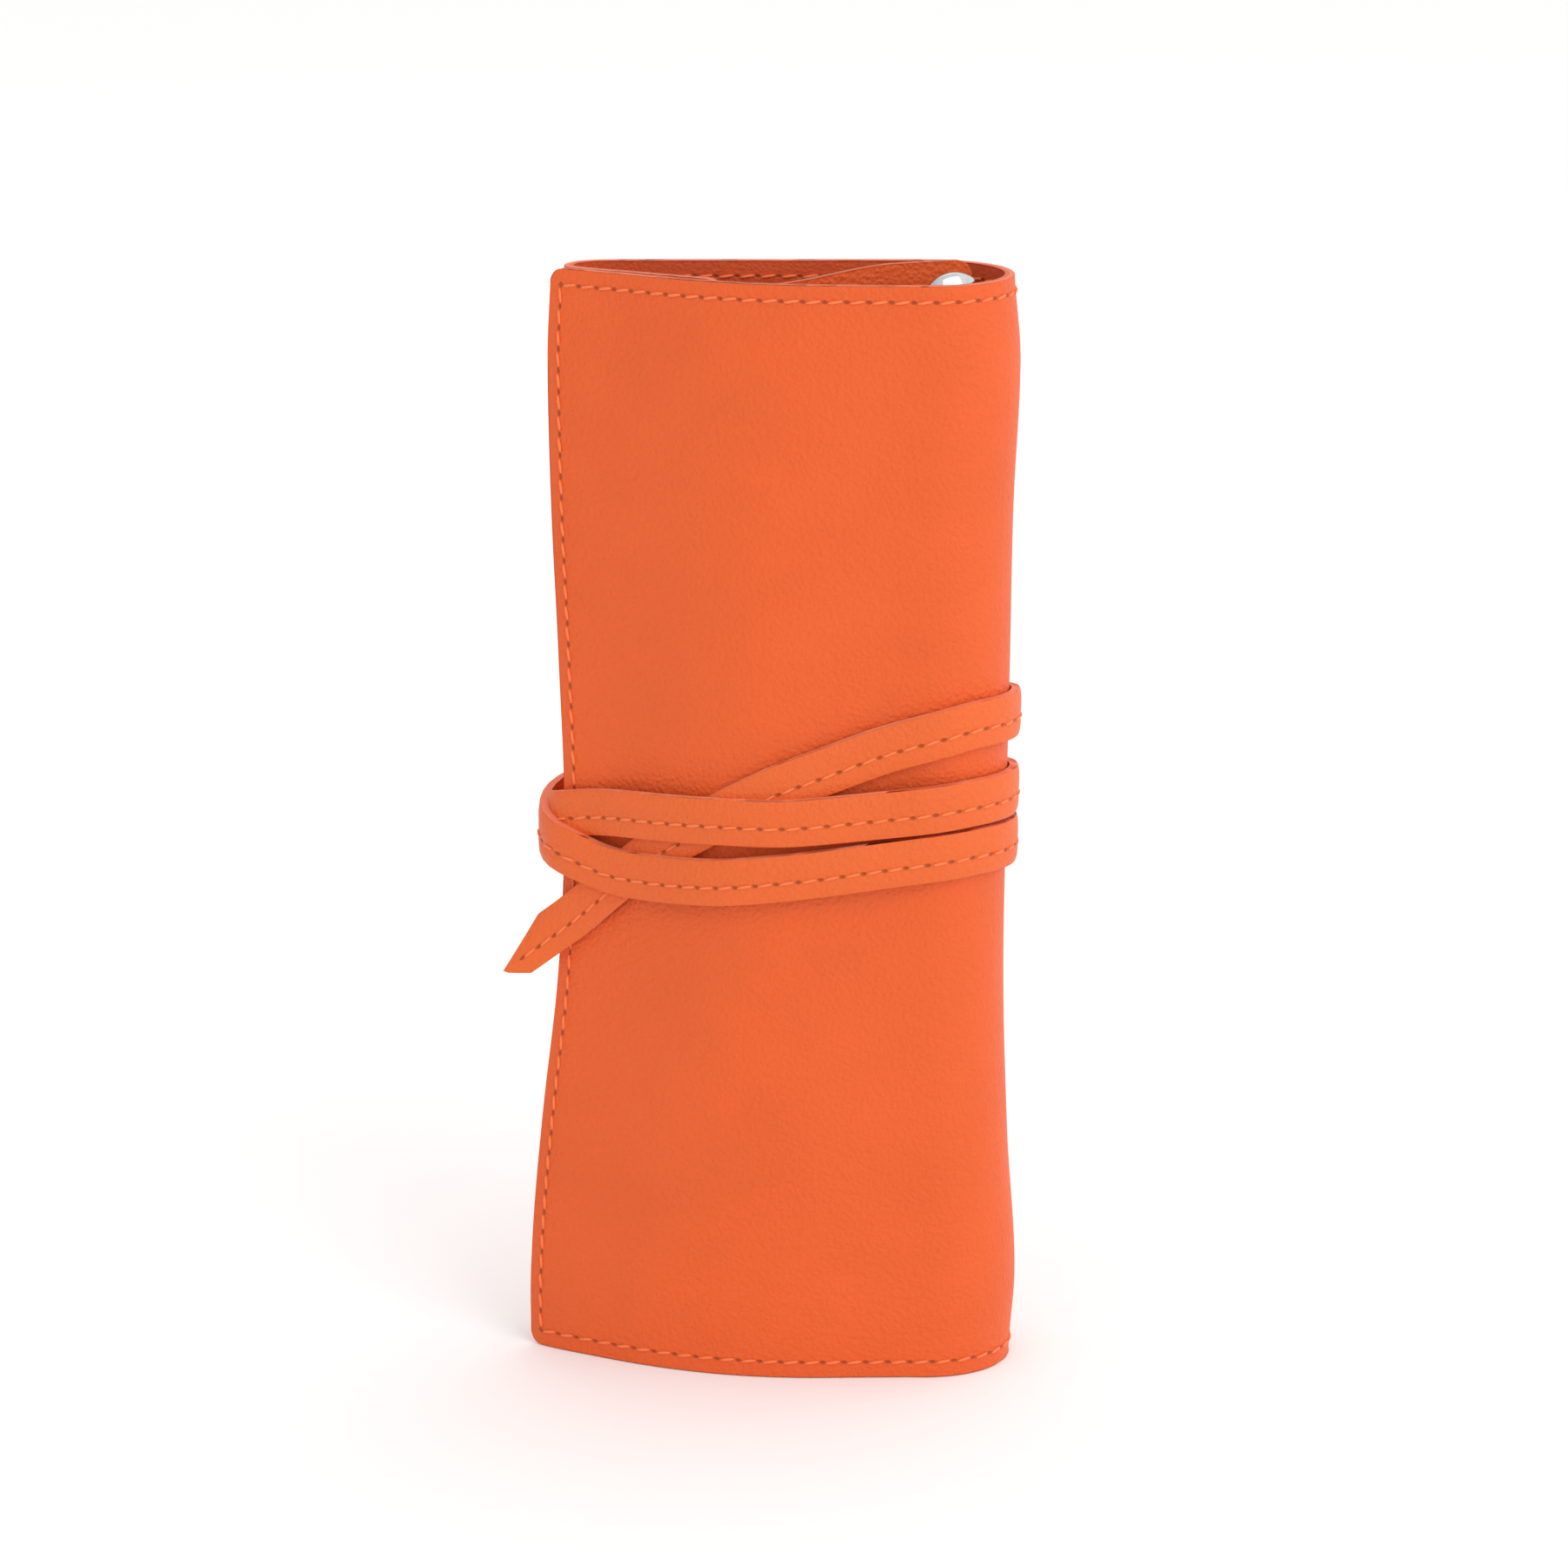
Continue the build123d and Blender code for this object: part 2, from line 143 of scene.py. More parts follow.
world = bpy.data.worlds.new("studio")
bpy.context.scene.world = world
world.use_nodes = True
sky = world.node_tree
direction = sky.nodes.new("ShaderNodeTexCoord").outputs["Generated"]
sideways = sky.nodes.new("ShaderNodeSeparateXYZ")
brighter_right = sky.nodes.new("ShaderNodeMapRange")
brighter_right.inputs["From Min"].default_value = -1.0
brighter_right.inputs["To Min"].default_value = 0.66
brighter_right.inputs["To Max"].default_value = 1.38
sky.links.new(direction, sideways.inputs[0])
sky.links.new(sideways.outputs["X"], brighter_right.inputs["Value"])
sky.links.new(brighter_right.outputs["Result"], sky.nodes["Background"].inputs["Strength"])
sky.nodes["Background"].inputs["Color"].default_value = (1.0, 0.995, 0.99, 1.0)
bpy.context.scene.view_settings.view_transform = "Standard"
print("three lights and an even world")

# %% [markdown]
# ## The rolled line
# Seen from above, the sheet is one line that turns clockwise all the way: out of the small left
# turn, along the back, round the right side and along the front to the flap's edge. The hinges of
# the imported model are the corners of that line. A sheet of leather doesn't bend at a corner, so
# each turn is spread over a stretch of the line, and the line is walked in small steps.

# %% The rolled line
STEP = 0.25 * MM
SMOOTHING = 5 * MM


class PlanLine:
    """A smooth line in plan: where it is, and which way is outwards, at each distance along it."""

    def __init__(self, start, heading, turns, first, last):
        # turns are (distance, spread, angle): clockwise angles, in degrees, from first to last
        self.s = np.arange(first - 0.02, last + 0.02, STEP)
        angle = np.full_like(self.s, heading, dtype=float)
        for distance, spread, turn in turns:
            angle -= turn * np.clip((self.s - distance) / spread + 0.5, 0, 1)
        width = int(SMOOTHING / STEP)
        padded = np.concatenate([np.full(width, angle[0]), angle, np.full(width, angle[-1])])
        angle = np.convolve(padded, np.ones(width) / width, "same")[width:-width]
        self.angle = np.radians(angle)
        x = np.cumsum(np.cos(self.angle)) * STEP
        y = np.cumsum(np.sin(self.angle)) * STEP
        at_start = np.interp(0.0, self.s, x), np.interp(0.0, self.s, y)
        self.x = x - at_start[0] + start[0]
        self.y = y - at_start[1] + start[1]
        self.first, self.last = first, last

    def point(self, s, out=0.0):
        """A plan point at distance s, moved outwards."""
        angle = np.interp(s, self.s, self.angle)
        x = np.interp(s, self.s, self.x) - out * math.sin(angle)
        y = np.interp(s, self.s, self.y) + out * math.cos(angle)
        return float(x), float(y)

    def out(self, s):
        """The outward direction at distance s."""
        angle = np.interp(s, self.s, self.angle)
        return Vector((-math.sin(angle), math.cos(angle), 0.0))


def bend_share(turn):
    """How much shorter an arc is than the two straight legs that it rounds off."""
    half = math.radians(turn) / 2
    return half / math.tan(half)


def hinge(name):
    """A hinge's place in plan and the angle it turns by."""
    x, y, _ = joints[name]["pos_m"]
    return Vector((x, y)), joints[name]["range_deg"][1]


def lay_out(folds, legs, start):
    """Distances and turns of folds along a line that starts at a plan point."""
    s, before, used, turns = 0.0, Vector(start), 0.0, []
    for (place, turn), leg in zip(folds, legs):
        share = bend_share(turn)
        s += (place - before).length - used * (1 - bend_share(turns[-1][2]) if turns else 0)
        s -= leg * (1 - share)
        turns.append((s, 2 * leg * share, turn))
        before, used = place, leg
    return turns


RIGHT = ["unroll", "right_middle_fold", "right_outer_fold", "flap_margin_fold"]
LEFT = ["left_inner_fold", "left_middle_fold", "left_outer_fold"]
right_folds = [hinge(name) for name in RIGHT]
left_folds = [hinge(name) for name in LEFT]
right_leg = (right_folds[1][0] - right_folds[0][0]).length / 2
left_leg = (left_folds[1][0] - left_folds[0][0]).length / 2
MARGIN_LEG = 24 * MM                # the flap's front is one long shallow curve
START = (0.0, right_folds[0][0].y)
right_turns = lay_out(right_folds, [right_leg] * 3 + [MARGIN_LEG], START)
left_turns = lay_out(left_folds, [left_leg] * 3, START)
print("right folds at", [round(t[0] / MM, 1) for t in right_turns], "mm")

flap_edge = Vector((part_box("flap_margin_cover")[0][0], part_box("flap_margin_cover")[1][1]))
FLAP_END = right_turns[-1][0] + (flap_edge - right_folds[-1][0]).length - 0.5 * MM
end_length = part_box("end_margin_cover")[1][0] - left_folds[-1][0].x
END_SLOPE = 28                      # degrees, the end panel in plan
END_END = -(left_turns[-1][0] + end_length / math.cos(math.radians(END_SLOPE)))
END_BOW = 4.5                      # the end lies along the curve of the flap over it
EDGE_CURL = 8.0                     # and the strap presses the flap's own edge inwards
left_heading = sum(turn for _, turn in left_folds) + END_BOW
END_BEND = 15 * MM, 30 * MM         # how far from its edge the end bends, and over what length
CURL_BEND = 6 * MM, 8 * MM
sheet_line = PlanLine(
    START, left_heading,
    [(END_END + END_BEND[0], END_BEND[1], END_BOW)]
    + [(-s, spread, turn) for s, spread, turn in left_turns] + right_turns
    + [(FLAP_END - CURL_BEND[0], CURL_BEND[1], EDGE_CURL)], END_END, FLAP_END,
)
LAP = 3.4 * MM                      # between the flap's outer face and the end's, front to back
print("sheet runs", round((FLAP_END - END_END) / MM, 1), "mm")

# %% [markdown]
# ## How the roll has settled
# The strap pulls the waist in, and the ends of the roll spring out again. The lower left corner
# flares most. One function moves any point of the sheet sideways and in depth, and every layer
# goes through it. The end that lies behind the flap moves less sideways than the flap's edge, and
# the flap stands a little proud over it.

# %% How the roll has settled
HEIGHTS = [h * MM for h in (0, 20, 50, 85, 120, 155, 190, 222, 240)]
LEFT_SHIFT = [-2.4, -2.1, 0.4, 4.4, 6.1, 5.2, 3.9, 3.5, 4.3]
RIGHT_SHIFT = [1.4, 2.6, 0.7, -0.5, -0.3, 0.2, 0.6, 1.8, 0.4]
# The left side is pressed flatter towards the top, by these shares of its depth, and the end is
# tucked back behind the flap by these millimetres.
FLATTEN = [0.0, 0.0, 0.02, 0.05, 0.08, 0.10, 0.13, 0.17, 0.20]
TUCK = [0.0, 0.0, 0.3, 1.0, 1.5, 1.2, 0.8, 0.6, 0.8]
LEFT_ZONE, RIGHT_ZONE = (0.0, 50 * MM), (8 * MM, 46 * MM)
PRESS_ZONE = -36 * MM, 60 * MM
FRONT_ZONE = 8 * MM, 24 * MM        # how far in front of the back panel the front begins
PUSH_MIDDLE, PUSH_HALF = -14 * MM, 40 * MM
LAP_ZONE = 6 * MM, 3 * MM           # before and after the last left bend
INNER_ZONE = 0.0, 20 * MM
FRONT_PUSH = 1.0 * MM               # the flap stands proud where the end lies under it
INNER_SHARE = 0.25                  # the inner layers move less than the flap's edge


def ease(x, low, high):
    """0 below low, 1 above high, and smooth between them."""
    t = min(max((x - low) / (high - low), 0.0), 1.0)
    return t * t * (3 - 2 * t)


def smooth_profile(z, values):
    """Values given at HEIGHTS, joined by smooth steps."""
    z = min(max(z, HEIGHTS[0]), HEIGHTS[-1])
    k = min(int(np.searchsorted(HEIGHTS, z, "right")) - 1, len(HEIGHTS) - 2)
    t = (z - HEIGHTS[k]) / (HEIGHTS[k + 1] - HEIGHTS[k])
    ends = [values[max(k - 1, 0)], values[k], values[k + 1], values[min(k + 2, len(values) - 1)]]
    a, b, c, d = ends
    return 0.5 * (
        2 * b + (c - a) * t + (2 * a - 5 * b + 4 * c - d) * t ** 2
        + (3 * b - a - 3 * c + d) * t ** 3
    )


def settle(x, y, z, lap=0.0, inner=0.0):
    """A point after the roll has settled.

    lap is how far behind the flap it lies, and inner is 1 for layers that the flap covers.
    """
    left = ease(-x, *LEFT_ZONE)
    right = ease(x, *RIGHT_ZONE)
    pressed = smooth_profile(z, FLATTEN) * ease(-x, *PRESS_ZONE)
    left *= (1 - (1 - INNER_SHARE) * inner) * smooth_profile(z, LEFT_SHIFT) * MM
    moved = x + left + right * smooth_profile(z, RIGHT_SHIFT) * MM
    front = ease(START[1] - y, *FRONT_ZONE) * (1 - inner)
    push = FRONT_PUSH * front * ease(PUSH_HALF - abs(x - PUSH_MIDDLE), 0.0, PUSH_HALF)
    y += smooth_profile(z, TUCK) * MM * lap / LAP - push
    return Vector((moved, y - (y - lap - START[1]) * pressed, z))


print("waist", [round(v / MM, 1) for v in settle(-0.05, -0.02, 0.12)])

# %% [markdown]
# ## Building a layer of the sheet
# A layer of leather is a grid with a back side. The grid starts flat, with one direction along
# the line and the other up the roll, and each vertex is then moved to its place. The back side is
# an extrusion of the same grid, moved in by the thickness. Its cut edges are bevelled, but not
# where it meets the next piece, so that the joint doesn't show. A UV map keeps the flat sheet's
# own measurements in metres for the grain and the needle holes.

# %% Building a layer of the sheet
EDGE_ROUND = 0.28 * MM
GRID = 2.0 * MM
scene_objects = bpy.context.scene.collection.objects


def add_object(name, mesh, *materials):
    """A new object of a finished mesh, smooth shaded."""
    for material in materials:
        mesh.materials.append(material)
    for polygon in mesh.polygons:
        polygon.use_smooth = True
    made = bpy.data.objects.new(name, mesh)
    scene_objects.link(made)
    return made


def crowd(t, first, last, start_zone, end_zone, share):
    """A share of a range, with more of the steps inside the zones at its ends."""
    if start_zone and t < share:
        return first + start_zone * (1 - math.cos(t / share * math.pi / 2))
    if end_zone and t > 1 - share:
        return last - end_zone * (1 - math.cos((1 - t) / share * math.pi / 2))
    low, high = share * bool(start_zone), 1 - share * bool(end_zone)
    inner_first, inner_last = first + start_zone, last - end_zone
    return inner_first + (t - low) / (high - low) * (inner_last - inner_first)


def layer(name, place, along, up, thickness, free_ends=(False, False), corner=0.0, bulge=None):
    """A bent layer of leather, as a mesh.

    place(s, z, depth) gives a point of the layer. along and up are its ranges, free_ends says
    which ends of along are cut edges, and corner is the radius of their corners.
    """
    first, last = along
    low, high = up
    columns = max(int((last - first) / GRID), 6)
    rows = max(int((high - low) / (1.25 * GRID)), 14)
    zone = max(corner, 3 * EDGE_ROUND)
    s_share, z_share = max(0.08, 3 / columns), max(0.06, 3 / rows)
    s_share, z_share = min(s_share, 0.4), min(z_share, 0.4)
    bm = bmesh.new()
    uv = bm.loops.layers.uv.new("flat")
    bmesh.ops.create_grid(bm, x_segments=columns, y_segments=rows, size=1.0)
    flat = {}
    for vert in bm.verts:
        s = crowd((vert.co.x + 1) / 2, first, last, free_ends[0] * zone, free_ends[1] * zone, s_share)
        z = crowd((vert.co.y + 1) / 2, low, high, zone, zone, z_share)
        if corner:
            short = max(corner - (z - low), corner - (high - z), 0.0)
            cut = corner - math.sqrt(max(corner ** 2 - short ** 2, 0.0))
            if free_ends[1]:
                s -= cut * ease(s, last - 4 * corner, last)
            if free_ends[0]:
                s += cut * ease(-s, -first - 4 * corner, -first)
        flat[vert] = (s, z, 0.0)
    outer = list(bm.faces)
    made = bmesh.ops.extrude_face_region(bm, geom=outer, use_keep_orig=True)
    inner_verts = [g for g in made["geom"] if isinstance(g, bmesh.types.BMVert)]
    inner_faces = [g for g in made["geom"] if isinstance(g, bmesh.types.BMFace)]
    lookup = {}
    for vert, (s, z, _) in list(flat.items()):
        lookup[(round(vert.co.x, 5), round(vert.co.y, 5))] = (s, z)
    for vert in inner_verts:
        s, z = lookup[(round(vert.co.x, 5), round(vert.co.y, 5))]
        flat[vert] = (s, z, thickness)
    for vert, (s, z, depth) in flat.items():
        lift = bulge(s, z) if bulge else 0.0
        vert.co = place(s, z, depth - lift)
    surfaces = set(outer) | set(inner_faces)
    walls = [face for face in bm.faces if face not in surfaces]
    joined = [end for end, free in zip(along, free_ends) if not free]
    for face in bm.faces:
        for loop in face.loops:
            s, z, _ = flat[loop.vert]
            loop[uv].uv = (s - sheet_line.first + 0.02, z + 0.02)
    cut_walls, joint_walls = [], []
    for face in walls:
        at_joint = any(
            all(abs(flat[v][0] - end) < 1e-7 for v in face.verts) for end in joined
        )
        if at_joint:
            joint_walls.append(face)
        else:
            face.material_index = 1
            cut_walls.append(face)
    for face in joint_walls:
        for edge in face.edges:
            edge.smooth = False
    wall_set = set(cut_walls)
    rims = [
        e for e in bm.edges
        if len(e.link_faces) == 2 and sum(f in wall_set for f in e.link_faces) == 1
        and sum(f in surfaces for f in e.link_faces) == 1
    ]
    bmesh.ops.bevel(
        bm, geom=rims, offset=min(EDGE_ROUND, 0.35 * thickness), offset_type="OFFSET", segments=2,
        profile=0.5, affect="EDGES", material=-1, clamp_overlap=True,
    )
    bmesh.ops.recalc_face_normals(bm, faces=bm.faces)
    mesh = bpy.data.meshes.new(name)
    bm.to_mesh(mesh)
    bm.free()
    return mesh


left_end_s = -left_turns[-1][0]


def on_sheet(s, z, depth):
    """A point of the rolled sheet, a depth below its outer face."""
    x, y = sheet_line.point(s)
    lap = LAP * ease(-s, -left_end_s - LAP_ZONE[0], -left_end_s + LAP_ZONE[1])
    inner = ease(-s, *INNER_ZONE)
    return settle(x, y, z, lap, inner) - sheet_line.out(s) * depth


print("a layer has a cell about every", GRID / MM, "mm")

# %% [markdown]
# ## Finishes
# The effects that several finishes share are node groups: the pebble grain of the coating, and
# the holes that the needle leaves along a seam, a mask for a dent and a painted shade. The grain
# reads the flat sheet's own UV map, in metres, so it bends with the leather. Each material then
# has its own shader, with its uniform values set on the shader's own sockets.

# %% A small helper for node trees
def add_node(tree, kind, inputs=None, **settings):
    """A node with its settings, and its inputs set or linked."""
    node = tree.nodes.new(kind)
    for name, value in settings.items():
        setattr(node, name, value)
    for name, value in (inputs or {}).items():
        if isinstance(value, bpy.types.NodeSocket):
            tree.links.new(value, node.inputs[name])
        else:
            node.inputs[name].default_value = value
    return node


def maths(tree, operation, *values):
    """The result of a Math node."""
    node = add_node(tree, "ShaderNodeMath", dict(enumerate(values)), operation=operation)
    return node.outputs[0]


def spread(tree, value, low, high, to_low=0.0, to_high=1.0):
    """A value mapped from one range to another, held at the ends."""
    limits = {
        "Value": value, "From Min": low, "From Max": high, "To Min": to_low, "To Max": to_high,
    }
    return add_node(tree, "ShaderNodeMapRange", limits).outputs["Result"]


def start_group(name, inputs, outputs):
    """A new shader node group, with its input and output nodes."""
    group = bpy.data.node_groups.new(name, "ShaderNodeTree")
    for socket_name, kind in inputs:
        group.interface.new_socket(socket_name, in_out="INPUT", socket_type=kind)
    for socket_name, kind in outputs:
        group.interface.new_socket(socket_name, in_out="OUTPUT", socket_type=kind)
    return group, group.nodes.new("NodeGroupInput").outputs, group.nodes.new("NodeGroupOutput")


# %% The grain of the coating
NUMBER, VECTOR = "NodeSocketFloat", "NodeSocketVector"
grain_group, given, result = start_group(
    "coating grain", [("Place", VECTOR), ("Pebbles per metre", NUMBER)],
    [("Height", NUMBER), ("Tone", NUMBER)],
)
pebbles = add_node(
    grain_group, "ShaderNodeTexVoronoi",
    {"Vector": given["Place"], "Scale": given["Pebbles per metre"], "Randomness": 0.9},
    feature="SMOOTH_F1",
)
pores = add_node(
    grain_group, "ShaderNodeTexNoise",
    {"Vector": given["Place"], "Scale": maths(grain_group, "MULTIPLY", given[1], 1.7),
     "Detail": 3.0, "Roughness": 0.6},
)
cloud = add_node(
    grain_group, "ShaderNodeTexNoise",
    {"Vector": given["Place"], "Scale": maths(grain_group, "MULTIPLY", given[1], 0.035),
     "Detail": 4.0, "Roughness": 0.65},
)
creases = maths(grain_group, "SUBTRACT", 1.0, pebbles.outputs["Distance"])
height = maths(grain_group, "MULTIPLY_ADD", pores.outputs["Fac"], 0.55, creases)
grain_group.links.new(height, result.inputs["Height"])
grain_group.links.new(cloud.outputs["Fac"], result.inputs["Tone"])
print("grain group made")

# %% The needle holes of a seam
holes_group, given, result = start_group(
    "needle holes", [("Along", NUMBER), ("Across", NUMBER), ("Pitch", NUMBER), ("Radius", NUMBER)],
    [("Mask", NUMBER)],
)
part = maths(holes_group, "DIVIDE", given["Along"], given["Pitch"])
nearest = maths(holes_group, "SUBTRACT", part, maths(holes_group, "ROUND", part))
off = maths(holes_group, "MULTIPLY", nearest, given["Pitch"])
off_squared = maths(holes_group, "POWER", maths(holes_group, "MULTIPLY", off, 0.62), 2.0)
across_squared = maths(holes_group, "POWER", given["Across"], 2.0)
distance = maths(holes_group, "SQRT", maths(holes_group, "ADD", off_squared, across_squared))
share = maths(holes_group, "DIVIDE", distance, given["Radius"])
holes_group.links.new(spread(holes_group, share, 0.45, 1.15, 1.0, 0.0), result.inputs["Mask"])
print("hole group made")

# %% Leather, with its seams
STITCH_PITCH = 4.6 * MM
SEAM_FROM_SIDE = 3.4 * MM
SEAM_FROM_END = 2.8 * MM
HOLE_RADIUS = 0.42 * MM
UV_MARGIN = 20 * MM                 # the UV map starts this far below and before the sheet


def seam_steps(first, last):
    """How many stitches fill a seam, and the pitch that makes them fit."""
    count = max(round((last - first) / STITCH_PITCH), 1)
    return count, (last - first) / count


def leather(name, colour, tone, roughness, seams, pebbles_per_metre=1150.0, bump=0.5):
    """A coated leather. Each seam is (direction, first, last, across), in UV metres."""
    material = bpy.data.materials.new(name)
    material.use_nodes = True
    tree = material.node_tree
    shader = tree.nodes["Principled BSDF"]
    place = add_node(tree, "ShaderNodeUVMap", uv_map="flat").outputs["UV"]
    grain = add_node(
        tree, "ShaderNodeGroup", node_tree=grain_group,
        inputs=None,
    )
    tree.links.new(place, grain.inputs["Place"])
    grain.inputs["Pebbles per metre"].default_value = pebbles_per_metre
    split = add_node(tree, "ShaderNodeSeparateXYZ", {"Vector": place})
    mask = None
    for direction, first, last, across in seams:
        along_value, across_value = split.outputs[direction], split.outputs[1 - direction]
        _, pitch = seam_steps(first, last)
        holes = add_node(tree, "ShaderNodeGroup", node_tree=holes_group)
        tree.links.new(maths(tree, "SUBTRACT", along_value, first), holes.inputs["Along"])
        tree.links.new(maths(tree, "SUBTRACT", across_value, across), holes.inputs["Across"])
        holes.inputs["Pitch"].default_value = pitch
        holes.inputs["Radius"].default_value = HOLE_RADIUS
        inside = maths(tree, "LESS_THAN", maths(
            tree, "ABSOLUTE", maths(tree, "SUBTRACT", along_value, (first + last) / 2)
        ), (last - first) / 2 + pitch / 3)
        here = maths(tree, "MULTIPLY", holes.outputs["Mask"], inside)
        mask = here if mask is None else maths(tree, "MAXIMUM", mask, here)
    light = tuple(min(c * (1 + tone), 1.0) for c in colour) + (1.0,)
    dark = tuple(c * (1 - tone) for c in colour) + (1.0,)
    ramp = add_node(tree, "ShaderNodeValToRGB", {"Fac": grain.outputs["Tone"]})
    ramp.color_ramp.elements[0].position, ramp.color_ramp.elements[1].position = 0.32, 0.68
    ramp.color_ramp.elements[0].color, ramp.color_ramp.elements[1].color = dark, light
    base = ramp.outputs["Color"]
    surface = grain.outputs["Height"]
    # The needle holes dent the bump and darken the colour to half: the darkening is painted shade
    # inside the holes.
    if mask is not None:
        hole_shade_colour = tuple(c * 0.5 for c in colour) + (1.0,)
        mix = tree.nodes.new("ShaderNodeMix")
        mix.data_type = "RGBA"
        tree.links.new(mask, mix.inputs["Factor"])
        tree.links.new(base, mix.inputs[6])
        mix.inputs[7].default_value = hole_shade_colour
        base = mix.outputs[2]
        surface = maths(tree, "MULTIPLY_ADD", mask, -3.0, surface)
    tree.links.new(base, shader.inputs["Base Color"])
    worn = spread(tree, grain.outputs["Height"], 0.6, 1.5, roughness + 0.06, roughness - 0.05)
    tree.links.new(worn, shader.inputs["Roughness"])
    relief = add_node(
        tree, "ShaderNodeBump", {"Strength": bump, "Distance": 0.0007, "Height": surface},
    )
    tree.links.new(relief.outputs["Normal"], shader.inputs["Normal"])
    shader.inputs["Specular IOR Level"].default_value = 0.38
    return material


def plain_finish(
    name, colour, roughness, bump=0.12, scale=2600.0, metallic=0.0, specular=0.4, tone=0.08,
):
    """A finish with fine noise on Object coordinates, for edges, thread and metal."""
    material = bpy.data.materials.new(name)
    material.use_nodes = True
    tree = material.node_tree
    shader = tree.nodes["Principled BSDF"]
    place = add_node(tree, "ShaderNodeTexCoord").outputs["Object"]
    noise = add_node(
        tree, "ShaderNodeTexNoise", {"Vector": place, "Scale": scale, "Detail": 3.0},
    )
    ramp = add_node(tree, "ShaderNodeValToRGB", {"Fac": noise.outputs["Fac"]})
    ramp.color_ramp.elements[0].position, ramp.color_ramp.elements[1].position = 0.3, 0.7
    ramp.color_ramp.elements[0].color = tuple(c * (1 - tone) for c in colour) + (1.0,)
    ramp.color_ramp.elements[1].color = tuple(min(c * (1 + tone), 1.0) for c in colour) + (1.0,)
    tree.links.new(ramp.outputs["Color"], shader.inputs["Base Color"])
    rough = spread(tree, noise.outputs["Fac"], 0.3, 0.7, roughness * 1.12, roughness * 0.9)
    tree.links.new(rough, shader.inputs["Roughness"])
    relief = add_node(
        tree, "ShaderNodeBump",
        {"Strength": bump, "Distance": 0.0002, "Height": noise.outputs["Fac"]},
    )
    tree.links.new(relief.outputs["Normal"], shader.inputs["Normal"])
    shader.inputs["Metallic"].default_value = metallic
    shader.inputs["Specular IOR Level"].default_value = specular
    return material


ORANGE = (0.75, 0.103, 0.0125)
STRAP_ORANGE = (0.76, 0.122, 0.017)
# The inner orange is a darker copy of the cover's orange: painted shade for the inside of the roll.
SHADED_INNER_ORANGE = (0.62, 0.088, 0.018)


def along_uv(s):
    """A distance along the sheet as its UV map has it."""
    return s - sheet_line.first + UV_MARGIN


SEAM_ENDS = along_uv(END_END + SEAM_FROM_END), along_uv(FLAP_END - SEAM_FROM_END)
SEAM_SIDES = UV_MARGIN + SEAM_FROM_SIDE, UV_MARGIN + ROLL_HEIGHT - SEAM_FROM_SIDE
sheet_seams = [
    (0, *SEAM_ENDS, SEAM_SIDES[0]), (0, *SEAM_ENDS, SEAM_SIDES[1]),
    (1, *SEAM_SIDES, SEAM_ENDS[0]), (1, *SEAM_SIDES, SEAM_ENDS[1]),
]
cover_finish = leather("cover leather", ORANGE, 0.035, 0.50, sheet_seams)
# The lining and the pockets take the inner orange, with its painted shade.
lining_finish = leather("lining leather", SHADED_INNER_ORANGE, 0.04, 0.58, sheet_seams, 1500.0, 0.35)
pocket_finish = leather("pocket leather", SHADED_INNER_ORANGE, 0.04, 0.56, [], 1500.0, 0.35)
guard_finish = leather("guard leather", (0.72, 0.104, 0.014), 0.035, 0.52, [])
cut_edge = plain_finish("cut edge", (0.80, 0.19, 0.095), 0.62, bump=0.3, specular=0.3)
# The inner cut edge is a darker copy of the cut edge's colour: painted shade for the edges of the
# inner layers.
shaded_inner_edge = plain_finish("inner cut edge", (0.68, 0.13, 0.055), 0.66, bump=0.3, specular=0.3)
thread_finish = plain_finish("thread", (0.88, 0.20, 0.062), 0.55, bump=0.5, scale=5200.0)
chrome_finish = plain_finish(
    "chrome", (0.52, 0.53, 0.55), 0.1, bump=0.01, scale=900.0, metallic=1.0, specular=0.5,
)
floor.data.materials.append(
    plain_finish("floor", (0.95, 0.95, 0.95), 0.9, bump=0.0, specular=0.1, tone=0.003)
)
print(len(bpy.data.materials), "finishes")

# %% [markdown]
# ## The bonded sheet
# On the real roll one cover and one lining are glued together and sewn round. Here each of the
# two is cut into seven lengths, one round each hinge, from the middle of one panel to the middle
# of the next. The lengths stay where they are made and are not tied to the hinges' bodies.
# Neighbouring lengths meet in the same vertices.

# %% The bonded sheet
COVER_THICK = 1.2 * MM
SHEET_THICK = 2.0 * MM
CORNER = 3.0 * MM
PANEL_BODIES = [
    "end_margin", "left_bend_2", "left_bend_1", "back_panel", "right_bend_1", "right_bend_2",
    "flap", "flap_margin",
]
LAYER_NODES = {body: body.replace("_panel", "") for body in PANEL_BODIES}
fold_turns = [(-s, w, t) for s, w, t in reversed(left_turns)] + right_turns
fold_s = [fold[0] for fold in fold_turns]
TIGHT_BEND = 2.9 * MM               # the small left turns share out their narrow panels
MARGIN_CUT = 13 * MM                # the last cut lies this far past the flap's second bend
BEND_SHARE = 0.72                   # of the room to the nearest cut, or of the bend itself
AVERAGE_AT = 0.2, 0.75              # heights, as shares, that stand for the settled sheet
cuts = [END_END, fold_s[0] + TIGHT_BEND, fold_s[2] - TIGHT_BEND, 0.0]
cuts += [(fold_s[3] + fold_s[4]) / 2, (fold_s[4] + fold_s[5]) / 2]
cuts += [fold_s[5] + MARGIN_CUT, FLAP_END]
middle_z = 0.5 * ROLL_HEIGHT


def plan_of(s):
    """A point of the sheet's outer face, settled as it is on average."""
    low, high = [on_sheet(s, share * ROLL_HEIGHT, 0.0) for share in AVERAGE_AT]
    return ((low.x + high.x) / 2, (low.y + high.y) / 2, middle_z)


def blend_reach(k):
    """The reach of a blend each side of a fold: a share of half the bend, or of the room to the
    nearest cut.
    """
    s, width, _ = fold_turns[k]
    return BEND_SHARE * min(width / 2, s - cuts[k], cuts[k + 1] - s)


